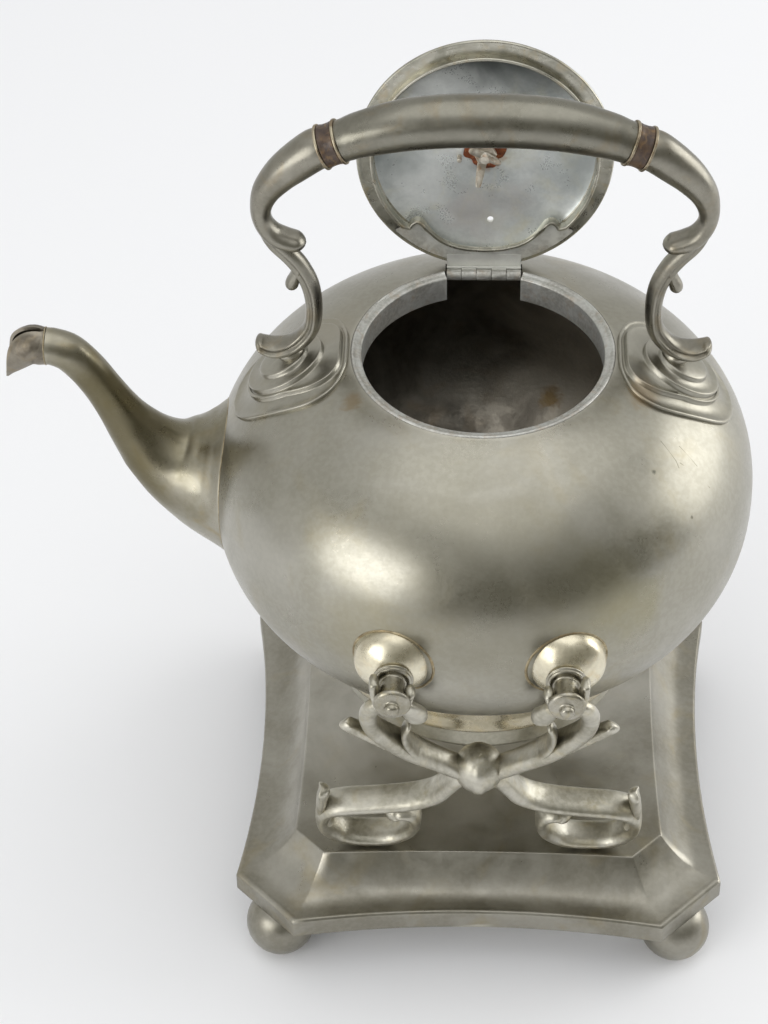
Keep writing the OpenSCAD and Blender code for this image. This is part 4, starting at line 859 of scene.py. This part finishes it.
def makeLid():
    z, r, plug = lid["z"], lid["radius"], lid["plug"]
    top = z + 1.3 + lid["dome"]
    steps = 24

    def dome(reach, foot, i):
        a = math.pi / 2 * i / steps
        return reach * math.cos(a), foot + (top - z - 2.6) * math.sin(a)

    outside = [dome(plug + 0.6, z + 2.6, i) for i in range(steps + 1)]
    inside = [dome(plug - 0.7, z + 1.4, i) for i in range(steps, -1, -1)]
    outside[-1], inside[0] = (0.01, outside[-1][1]), (0.01, inside[0][1])
    flange = [(plug - 0.7, z + 0.05), (r - 1.8, z + 0.05), (r - 1.2, z - 0.02), (r - 0.3, z), (r, z + 0.5),
              (r, z + 1.2), (r - 0.7, z + 1.7), (r - 1.7, z + 1.25), (plug + 1.1, z + 1.2)]
    flange = softened(flange, 0.4, closed=False)
    shell = turned(flange + outside + inside, 144)
    coats = ["lid", "lidEdge", "belly"]
    shell = makePiece("lidShell", swungOpen(shell), "lid", coats, ["lid"])
    ventX, ventY = lid["vent"]
    vent = turned([(0.01, 0), (1.1, 0), (1.1, 60), (0.01, 60)], 24)
    vent = moved(vent, lambda x, y, h: (x + ventX, y + ventY, h + 200))
    chord = block((-30, hinge["y"] - 2.7, z - 1), (30, hinge["y"] + 7, z + 9))
    carved(shell, [swungOpen(vent), swungOpen(chord)])
    # the outside, the edge and the inside each take their own finish
    back = aboutHinge(hinge["open"])
    for face in shell.data.polygons:
        place = back @ (face.center / mm)
        normal = back.to_3x3() @ face.normal
        if normal.z > 0.2:
            face.material_index = 2
        elif math.hypot(place.x, place.y) > plug - 1.6:
            face.material_index = 1

    path = plugPath()
    rings = []
    for i, (x, y) in enumerate(path):
        before, after = path[i - 1], path[(i + 1) % len(path)]
        way = Vector((after[0] - before[0], after[1] - before[1])).normalized()
        edge = (way.y, -way.x)
        far = min(1.0, max(0.0, (y - 27) / 4)) if y > 0 else 0.0
        deep, thick = 3.3 - 1.9 * far, 0.62
        outline = [(-thick, 0.5), (-thick, -deep + 0.35), (-thick * 0.5, -deep), (thick * 0.5, -deep),
                   (thick, -deep + 0.35), (thick, 0.5)]
        outline = softened(outline, 0.3, closed=False)
        rings.append([(x + edge[0] * s, y + edge[1] * s, z + h) for s, h in outline])
    makePiece("plugRing", swungOpen(skinned(rings, looped=True)), "lid", "lidEdge",
              ["lid_plug_ring"], sharp=60)

    # crescent leaf between the flatter arc and the flange, with the tab that carries the knuckles
    inner = path[:flatPoints]
    half = list(reversed([(-x, y) for x, y in inner[1:]])) + inner
    half = [(x, y) for x, y in half if abs(x) < 27.5]
    outer = []
    for x, y in half:
        a = math.atan2(x, y) * 1.06
        outer.append(((r - 1.7) * math.sin(a), (r - 1.7) * math.cos(a)))
    band = []
    for (ix, iy), (ox, oy) in zip(half, outer):
        band.append([(ix, iy, z - 0.5), (ix, iy, z + 0.02), (ox, oy, z + 0.02), (ox, oy, z - 0.45),
                     (ox * 0.995, oy * 0.995, z - 0.52)])
    w = hinge["width"] / 2 - 0.15
    y = hinge["y"]
    tab = joined(block((-w, r - 5.5, z - 0.62), (w, y + 1.0, z - 0.05)),
                 block((-w, y - 1.4, hinge["z"] + hinge["knuckle"] + 0.25), (w, y - 0.35, z - 0.05)))
    crease = bead([(x, y - 1.45, hinge["z"] + hinge["knuckle"] + 0.9) for x in (-w, 0, w)], 0.28)
    parts = [skinned(band), tab, crease]
    step = hinge["width"] / 5
    for k in (1, 3):
        parts.append(knuckle(k))
        x = -hinge["width"] / 2 + k * step
        parts.append(block((x + 0.15, y - 1.4, hinge["z"] + 1.2),
                           (x + step - 0.15, y - 0.3, hinge["z"] + 2.6)))
    makePiece("lidLeaf", swungOpen(joined(*parts)), "lid", "rim", ["lid_strap"])
    print("lid made")


def knuckle(k):
    long = hinge["width"] / 5 - 0.14
    r, hole = hinge["knuckle"], hinge["pin"] + hinge["play"]
    outline = softened([(hole, -long / 2), (r, -long / 2), (r, long / 2), (hole, long / 2)], 0.25)
    x = -hinge["width"] / 2 + (k + 0.5) * hinge["width"] / 5
    return moved(turned(outline, 32), lambda a, b, c: (x + c, hinge["y"] + a, hinge["z"] + b))


def makeHinge():
    step = hinge["width"] / 5
    parts = []
    for k in (0, 2, 4):
        parts.append(knuckle(k))
        x = -hinge["width"] / 2 + k * step
        parts.append(block((x + 0.15, hinge["y"] + 0.9, hinge["z"] - hinge["knuckle"]),
                           (x + step - 0.15, hinge["y"] + 6, hinge["z"] - hinge["knuckle"] + 1)))
    w = hinge["width"] / 2 - 0.15
    columns = [w * (2 * j / 12 - 1) for j in range(13)]
    rows = []
    for grow in (-belly["wall"] - 0.06, -belly["wall"] - 1.4):
        sheet = []
        for i in range(9):
            y = hinge["y"] + 4.7 + 7.6 * i / 8
            sheet.append([(x, y, belly["middle"] + bellyRise(math.hypot(x, y), grow)) for x in columns])
        rows.append(sheet)
    rings = [a + list(reversed(b)) for a, b in zip(*rows)]
    parts.append(skinned(rings))
    makePiece("hingeLeaf", joined(*parts), "kettle", "rim", ["hinge_leaf"])
    rod = softened([(0.01, -w), (hinge["pin"], -w), (hinge["pin"], w), (0.01, w)], 0.25, closed=False)
    rod = moved(turned(rod, 24, closed=False), lambda a, b, c: (c, hinge["y"] + a, hinge["z"] + b))
    makePiece("hingePin", rod, "kettle", "screw", ["hinge_pin"])


def makeKnob():
    z = lid["z"] + 1.3 + lid["dome"]
    shape = [(0.01, 0.35), (7.6, 0.35), (8.2, 0.8), (7.6, 1.8), (5.2, 2.7), (3.6, 4.2), (3.2, 6), (3.9, 7.4),
             (6, 8.8), (8.2, 10.8), (9.3, 13.4), (9, 16.2), (7.4, 18.8), (5, 20.4), (3, 21.1), (2.6, 22.4),
             (1.5, 23.4), (0.01, 23.8)]
    shape = curveThrough(shape, 4)
    knob = turned([(max(0.01, r), z - 0.3 + h) for r, h in shape], 72)
    makePiece("lidKnob", swungOpen(knob), "lid", "belly", ["lid_knob"], sharp=60)
    # threaded end of the stud, the lumpy nut with its bent blade and the rusty washer
    thread = [(1.5 - (0.22 if k % 2 else 0), z - 9.2 + 0.28 * k) for k in range(42)]
    stud = [(0.01, z - 9.3)] + thread + [(1.4, z + 5), (0.01, z + 5)]
    stud = turned(stud, 24, closed=False)
    makePiece("knobStud", swungOpen(stud), "lid", "fitting", ["knob_stud"])

    def lumpy(x, y, h):
        swell = 1 + 0.05 * math.sin(x * 2.1 + h) * math.cos(y * 1.7)
        return x * swell, y * swell, h + 0.12 * math.sin(x * 1.3 + y * 1.9)

    nut = turned(softened([(1.55, 0.02), (4.1, 0.1), (4.3, 1.4), (3.9, 2.95), (1.55, 2.9)], 0.5), 6)
    nut = moved(nut, lumpy)
    blade = curveThrough([(-6.2, -1.4, 0.5, 1.2), (-3, -0.9, 0.8, 1.5), (0, -0.2, 0.9, 1.5),
                          (3.4, -0.8, 0.8, 1.4), (6.2, -1.6, 0.5, 1.0)], 5)

    def turnedBy(degrees, lift):
        # placing of a blade that lies turned about the stud
        c, s = math.cos(math.radians(degrees)), math.sin(math.radians(degrees))
        return lambda u, v, w: (u * c - w * s, u * s + w * c, v + lift)

    wing = bar(roundedOff(blade, 1.2, atStart=True), turnedBy(27, 0), 16, 3)
    nut = moved(joined(nut, wing), lambda x, y, h: (x, y, h + z - 5.4))
    # bent strip that reaches down from the washer
    strip = curveThrough([(2, -0.3, 0.35, 1.6), (5, -1.6, 0.4, 1.6), (8, -4.2, 0.4, 1.4),
                          (10.2, -6.0, 0.4, 1.1), (11.6, -7.0, 0.35, 0.7)], 5)
    strip = bar(roundedOff(strip, 0.8), turnedBy(102, z - 1.6), 14, 3)
    makePiece("knobNut", swungOpen(nut), "lid", "fitting", ["knob_nut"], sharp=35)

    def ragged(share, height):
        # ring of the washer, with its eaten edge and its slight waves
        ring = []
        for t in around(72):
            eaten = 0.5 * math.cos(4 * t + 0.6) + 0.35 * math.sin(7 * t) + 0.25 * math.cos(11 * t + 1)
            r = share * (6.9 + eaten)
            ring.append((r * math.cos(t), r * math.sin(t), height + 0.25 * math.sin(3 * t)))
        return ring

    washerRings = ((0.28, -0.4, 0.0), (0.8, -0.45, 0.0), (0.97, -0.35, -0.05), (1.0, -0.2, -0.15))
    under = [ragged(share, z - 1.75 + low) for share, low, high in washerRings]
    over = [ragged(share, z - 1.5 + high) for share, low, high in reversed(washerRings)]
    makePiece("knobStrip", swungOpen(strip), "lid", "fitting", sharp=35)
    makePiece("knobWasher", swungOpen(skinned(under + over, looped=True)), "lid", "rust",
              ["knob_washer"])
    pegShape = softened([(0.01, 0), (0.8, 0), (0.8, 5.2), (0.01, 5.2)], 0.3, closed=False)
    pegX, pegY = lid["peg"]
    peg = moved(turned(pegShape, 20, closed=False), lambda x, y, h: (x + pegX, y + pegY, h + z - 4.6))
    makePiece("knobPeg", swungOpen(peg), "lid", "fitting", ["knob_peg"])
    print("hinge, knob and fittings made")


# Base and ball feet

base = dict(half=89.8, waist=84.0, side=67.3, border=18.2, rise=12.9, edge=8.4, wall=2.4, rim=31.82)


def basePlan(f, g):
    # outline between the outer edge (f = 0) and the raised floor (f = 1), inset by g
    corner = base["half"] - base["border"] - 4.3
    a = base["half"] + (corner - base["half"]) * f - g
    m = base["waist"] - base["border"] * f - g
    b = base["side"] * (1 - 0.16 * f) - g * 0.41
    out = []
    for q in range(4):
        c, s = (1, 0, -1, 0)[q], (0, 1, 0, -1)[q]
        line = []
        for i in range(25):
            t = 2 * i / 24 - 1
            t = math.copysign(abs(t) ** 0.8, t)
            line.append((t * b, -(m + (a - m) * t * t)))
        ax, ay, bx, by = b, -a, a, -b
        line += [(ax + (bx - ax) * i / 8, ay + (by - ay) * i / 8) for i in (0.3, 1, 2, 3, 4, 5, 6, 7, 7.7)]
        out += [(x * c - y * s, x * s + y * c) for x, y in line]
    return out


def makeBase():
    levels = [(0, -base["edge"]), (0, -base["edge"] + 0.5), (0, -1.6), (0.01, -0.7), (0.035, -0.15),
              (0.07, 0.02), (0.12, 0.05), (0.28, 0.5), (0.45, 1.7), (0.62, 4), (0.78, 7.2), (0.9, 10.2),
              (0.965, 12.2), (0.99, 12.8), (1.02, base["rise"])]
    levels = curveThrough(levels, 3)
    rings = [[(x, y, base["rim"] + h) for x, y in basePlan(f, 0)] for f, h in levels]
    floor = base["rim"] + base["rise"]
    tops = [[(x * 0.97, y * 0.97, floor) for x, y in basePlan(1.02, 0)]]
    thick = base["wall"]
    below = [[(x * 0.95, y * 0.95, floor - thick) for x, y in basePlan(1.02, thick)]]
    lower = [(f, h) for f, h in reversed(levels) if h > -1 or h < -base["edge"] + 0.2]
    under = []
    for f, h in lower:
        level = base["rim"] + h - (thick if h > -1 else 0)
        under.append([(x, y, level) for x, y in basePlan(f, thick)])
    makePiece("baseTray", skinned(below + under + rings + tops), "stand", "base", ["base"],
              sharp=75)
    ball = dict(radius=12.8, middle=12.5, place=73.55, neck=3.6, top=23.3)
    r, z = ball["radius"], ball["middle"]
    angles = [math.radians(-89.5 + 8.5 * i) for i in range(18)]
    flat, neck, top = math.radians(-80), ball["neck"], ball["top"]
    profile = [(r * math.cos(a), z + r * math.sin(a) + (0.3 if a < flat else 0)) for a in angles]
    profile = [(q, h) for q, h in profile if 0 < h < top - 0.4]
    profile += [(6.6, top - 0.1), (4.2, top), (neck, top + 0.4), (neck, 28.9), (0.01, 28.9)]
    profile = turned([(0.01, profile[0][1])] + profile, 64, closed=False)
    feet = []
    for x in (-1, 1):
        for y in (-1, 1):
            feet.append(moved(profile, lambda a, b, c: (a + x * ball["place"], b + y * ball["place"], c)))
    makePiece("ballFeet", joined(*feet), "stand", "base", ["ball_feet"])
    print("base made")


# Scrolled frames, drawn in their leaning plane as (across, up the plane, out of it), with the front face at 0

scroll = dict(footY=65.0, floorZ=44.72, lean=18.5, height=132.8, boss=61.9, footX=40.0, thick=5.4, deep=11.0,
              cradleFront=107.2, cradleDeep=6.3, padY=59.5)


def depthAt(v):
    # half depth of the bars and its middle at a height up the frame, thinner towards the kettle's pins
    boss, top, deep = scroll["boss"], scroll["height"], scroll["deep"]
    table = [(-30, 0, deep), (boss - 16, 0, deep), (boss - 6, 0.9, 10.1), (boss + 10, 0.9, 10.1),
             (boss + 20, 0, deep), (top - 34, 0, 8.6), (top - 14, 0, 4.9), (top + 40, 0, 4.9)]
    for (a, lowA, highA), (b, lowB, highB) in zip(table, table[1:]):
        if a <= v <= b:
            t = (v - a) / (b - a)
            low, high = lowA + (lowB - lowA) * t, highA + (highB - highA) * t
            return (high - low) / 2, -(high + low) / 2
    return deep / 2, -deep / 2


def makeFrames():
    lean = math.radians(scroll["lean"])
    x, p, v, boss, h = scroll["footX"], pins["x"], scroll["height"], scroll["boss"], scroll["thick"] / 2

    def leaning(side):
        def place(u, up, w):
            return (side * u, -scroll["footY"] - up * math.sin(lean) - w * math.cos(lean),
                    scroll["floorZ"] + up * math.cos(lean) - w * math.sin(lean))
        return place

    def deepened(stations, slim=0.0, end=None):
        out = []
        for i, (a, b, t) in enumerate(stations):
            half, mid = depthAt(b)
            share = 1.0 if end is None else 1 + (end - 1) * i / (len(stations) - 1)
            out.append((a, b, t, (half - slim) * share, mid))
        return out

    foot = shifted([(-9.4, 25.4, 0), (-12.4, 27.6, -0.4), (-15.8, 25.4, -0.4), (-17.2, 19.5, -0.4),
                    (-15.4, 11.4, -0.3), (-9, 4.4, -0.2), (0, 2.5, -0.2), (9.4, 4.4, 0), (15.2, 11.4, 0),
                    (16.5, 20, 0), (14.6, 27.4, 0), (9, 31.4, 0), (-3, 33.8, 0), (-12, 35.8, 0),
                    (-19, 38.6, 0), (-25.4, 43.8, 0.1), (-29.8, 51.6, 0.2)], x, 0, h)
    foot += shifted([(-33.8, -3.4, 0.3), (-40, 0.6, 0.6)], x, boss, h)
    loop = shifted([(0, 0.6, 0.5), (6.6, 2.8, 0.4), (13.4, 8.8, 0.4), (22.8, 18.8, 0.4)], 0, boss, h)
    loop += shifted([(2.2, -41, 0.4), (7.2, -30.4, 0.4), (8.6, -20, 0.4), (6.8, -11.6, 0.3), (1.4, -8.6, 0.2),
                     (-3.6, -10.6, 0.4), (-6.8, -15.4, 1.3), (-7.6, -19.6, 1.1), (-7.6, -22.4, 0.6)], p, v, h)
    footLeaf = shifted([(14.2, 17, -0.6), (16.6, 25, -0.7), (16.2, 34, -0.7), (15.4, 40, -0.6),
                        (15.6, 44, -0.8)], x, 0, h)
    loopLeaf = shifted([(3.4, -43, -0.5), (10.0, -35.6, -0.6), (14.6, -30.4, -0.3),
                        (16.8, -26.8, -0.2)], p, v, h)
    innerLeaf = shifted([(-8.4, -55, -0.9), (-4.2, -44, -1.2), (-3.4, -35, -1.3), (-5, -27.4, -1.6)], p, v, h)
    # each bar of one side: stations, slimmer by, end depth, rounded reach, round at start, points, power, cup
    bars = [(foot, 0, None, 3.0, True, 28, 2.4, 0), (loop, 0, None, 3.4, False, 28, 2.4, 0),
            (footLeaf, 1.2, 0.72, 2.6, False, 24, 2.2, -1.1), (loopLeaf, 0.8, 0.8, 2.4, False, 24, 2.2, 1.0),
            (innerLeaf, 0.6, 0.8, 2.0, False, 20, 2.2, 0)]
    halves = []
    for side in (-1, 1):
        place = leaning(side)
        for stations, slim, end, reach, atStart, count, power, cup in bars:
            line = roundedOff(deepened(curveThrough(stations, 6), slim, end), reach, atStart, not atStart)
            halves.append(bar(line, place, count, power, cup=cup))
        # ball that ends the foot scroll
        ball = ballShape(4.0, 4.4, 28)
        halves.append(moved(ball, lambda a, b, c: place(x - 10 + a, 25.6 + b, -5.5 + c * 1.15)))
        # foot pad under the scroll
        pad = [(0.01, 0.06), (4.3, 0.06), (4.1, 2.2), (3.4, 4.6), (0.01, 4.6)]
        pad = turned(softened(pad, 0.4, closed=False), 32)
        halves.append(moved(pad, lambda a, b, c: (side * x + a, -scroll["padY"] + b, scroll["floorZ"] + c)))
        # open cradle: a tall leaf outside, a low ball inside
        r, deep = pins["radius"] + 0.06, scroll["cradleDeep"]
        mid = -scroll["cradleFront"] + deep / 2
        turns = [math.radians(a) for a in range(185, 356, 10)]
        path = [(-r - 1.75, 0.8, 1.75)]
        path += [((r + 1.6) * math.cos(a), (r + 1.6) * math.sin(a), 1.55) for a in turns]
        path += [(r + 1.7, 0.4, 1.6), (r + 1.75, 2.6, 1.65), (r + 1.9, 4.4, 1.6), (r + 2.1, 5.6, 1.5),
                 (r + 2.3, 6.9, 1.4)]
        path = roundedOff([(a, b, t, deep / 2) for a, b, t in path], 1.6, atStart=True)
        halves.append(bar(path, lambda a, b, c: (side * (pins["x"] + a), mid + c, pins["z"] + b), 24, 2.8))
        left = pins["x"] - r - 1.9
        ball = ballShape(1.95, 1.95, 24)

        def besideCradle(a, b, c):
            return side * (left + a * 0.9), mid + b * 1.6, pins["z"] + 0.5 + c

        halves.append(moved(ball, besideCradle))
    # bud over the crossing, with a soft ridge between two shallow grooves and a pointed lower end
    place = leaning(1)
    rows = []
    for i in range(25):
        a = math.pi * i / 24
        up = 9.6 * math.cos(a) if a < math.pi / 2 else 10.6 * math.cos(a)
        wide = 8.8 * math.sin(a) ** (1.0 if a < math.pi / 2 else 1.15) + 0.02
        ring = []
        for t in around(48):
            ridge = 1 + 0.07 * math.exp(-((math.sin(t) - 1) / 0.03) ** 2)
            ridge -= 0.02 * math.exp(-((abs(math.cos(t)) - 0.33) / 0.1) ** 2)
            ring.append(place(wide * ridge * math.cos(t), boss + 1.5 + up, -5.9 + wide * ridge * math.sin(t)))
        rows.append(ring)
    halves.append(skinned(rows))
    front = joined(*halves)
    makePiece("frameFront", front, "stand", "stand", ["frame_front"], sharp=60)
    makePiece("frameRear", moved(front, lambda x, y, z: (x, -y, z)), "stand", "stand",
              ["frame_rear"], sharp=60)
    print("frames made")


makeBody()
makeFootAndPan()
makeRim()
makeSpout()
makePlates()
makeArms()
makeGrip()
makePins()
makeLid()
makeHinge()
makeKnob()
makeBase()
makeFrames()

# two small CAD pieces that stay as they are
for node in ("handle_spigots", "frame_screws"):
    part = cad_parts[node]
    part.data.materials.clear()
    part.data.materials.append(finishes["screw"])


# Floor, light and camera

studio = dict(floor=(0.885, 0.885, 0.885), daylight=0.74, backdrop=(0.88, 0.88, 0.88))


def makeFloor():
    size = 6.0
    mesh = bpy.data.meshes.new("floor")
    mesh.from_pydata([(-size, -size, 0), (size, -size, 0), (size, size, 0), (-size, size, 0)], [],
                     [(0, 1, 2, 3)])
    material = bpy.data.materials.new("floorCloth")
    material.use_nodes = True
    tree = material.node_tree
    shader = tree.nodes["Principled BSDF"]
    shader.inputs["Base Color"].default_value = (*studio["floor"], 1)
    shader.inputs["Roughness"].default_value = 0.95
    shader.inputs["Specular IOR Level"].default_value = 0.1
    weave = nodeIn(tree, "TexNoise", "Fac", {"Scale": 700})
    bump = nodeIn(tree, "Bump", "Normal", {"Strength": 0.25, "Distance": 0.0005, "Height": weave})
    tree.links.new(bump, shader.inputs["Normal"])
    mesh.materials.append(material)
    floor = placed("floor", mesh)


def makeWorld():
    # an even daylight, which metal sees as a pale room that is darker in front to the right
    world = bpy.data.worlds.new("studio")
    bpy.context.scene.world = world
    world.use_nodes = True
    tree = world.node_tree
    daylight = tree.nodes["Background"]
    daylight.inputs["Color"].default_value = (0.97, 0.98, 1.0, 1)
    daylight.inputs["Strength"].default_value = studio["daylight"]
    direction = nodeIn(tree, "TexCoord", "Generated", {})
    facing = {0: direction, 1: (0.55, -0.83, -0.1)}
    toDark = nodeIn(tree, "VectorMath", "Value", facing, operation="DOT_PRODUCT")
    walls = nodeIn(tree, "ValToRGB", "Color", {"Fac": toDark})
    shades = walls.node.color_ramp
    shades.interpolation = "EASE"
    for element, place, colour in zip(shades.elements, (0.0, 0.72),
                                      ((0.66, 0.66, 0.64, 1), (0.24, 0.235, 0.20, 1))):
        element.position = place
        element.color = colour
    height = nodeIn(tree, "SeparateXYZ", "Z", {"Vector": direction})
    rise = nodeIn(tree, "MapRange", "Result", {"Value": height, "From Min": 0.45, "From Max": 0.85})
    room = nodeIn(tree, "Background", 0, {"Color": mixedColours(tree, rise, walls, (0.72, 0.725, 0.72, 1))})
    seen = nodeIn(tree, "Background", 0, {"Color": (*studio["backdrop"], 1)})
    glossy = nodeIn(tree, "LightPath", "Is Glossy Ray", {})
    camera = nodeIn(tree, "LightPath", "Is Camera Ray", {})
    lit = nodeIn(tree, "MixShader", "Shader", {"Fac": glossy, 1: daylight.outputs["Background"], 2: room})
    mix = nodeIn(tree, "MixShader", "Shader", {"Fac": camera, 1: lit, 2: seen})
    tree.links.new(mix, tree.nodes["World Output"].inputs["Surface"])


def makeLamp(name, look):
    data = bpy.data.lights.new(name, "AREA")
    data.shape = "RECTANGLE"
    data.size, data.size_y = look["size"]
    data.energy = look["power"]
    lamp = placed(name, data)
    lamp.location = look["at"]
    aim = Vector(look["aim"]) - Vector(look["at"])
    lamp.rotation_euler = aim.to_track_quat("-Z", "Y").to_euler()


def makeCamera():
    shot = dict(focalPixels=2777.78, imageHeight=1024, pitch=43.34, yaw=-2.796, roll=-1.342,
                at=(0.43, -723.8, 837.59))
    pitch, yaw, roll = (math.radians(shot[k]) for k in ("pitch", "yaw", "roll"))
    ahead = Vector((math.sin(yaw) * math.cos(pitch), math.cos(yaw) * math.cos(pitch), -math.sin(pitch)))
    right = Vector((math.cos(yaw), -math.sin(yaw), 0))
    up = right.cross(ahead)
    across = right * math.cos(roll) + up * math.sin(roll)
    upright = -right * math.sin(roll) + up * math.cos(roll)
    data = bpy.data.cameras.new("camera")
    data.sensor_width = 36
    data.lens = shot["focalPixels"] * 36 / shot["imageHeight"]
    data.clip_start = 0.01
    camera = placed("camera", data)
    pose = Matrix((across, upright, -ahead)).transposed().to_4x4()
    pose.translation = Vector(shot["at"]) * mm
    camera.matrix_world = pose
    bpy.context.scene.camera = camera


makeFloor()
makeWorld()
makeLamp("skyBox", dict(at=(0.1, -0.05, 1.7), aim=(0, 0, 0.1), size=(1.8, 1.6), power=6.8))
makeLamp("leftWindow", dict(at=(-1.0, -1.0, 0.62), aim=(0, 0, 0.15), size=(0.9, 0.8), power=6.4))
makeLamp("rightWindow", dict(at=(1.37, 0.42, 0.58), aim=(0, 0, 0.15), size=(1.0, 0.85), power=7.4))
makeCamera()
bpy.context.scene.view_settings.view_transform = "Standard"
print("light and camera set")
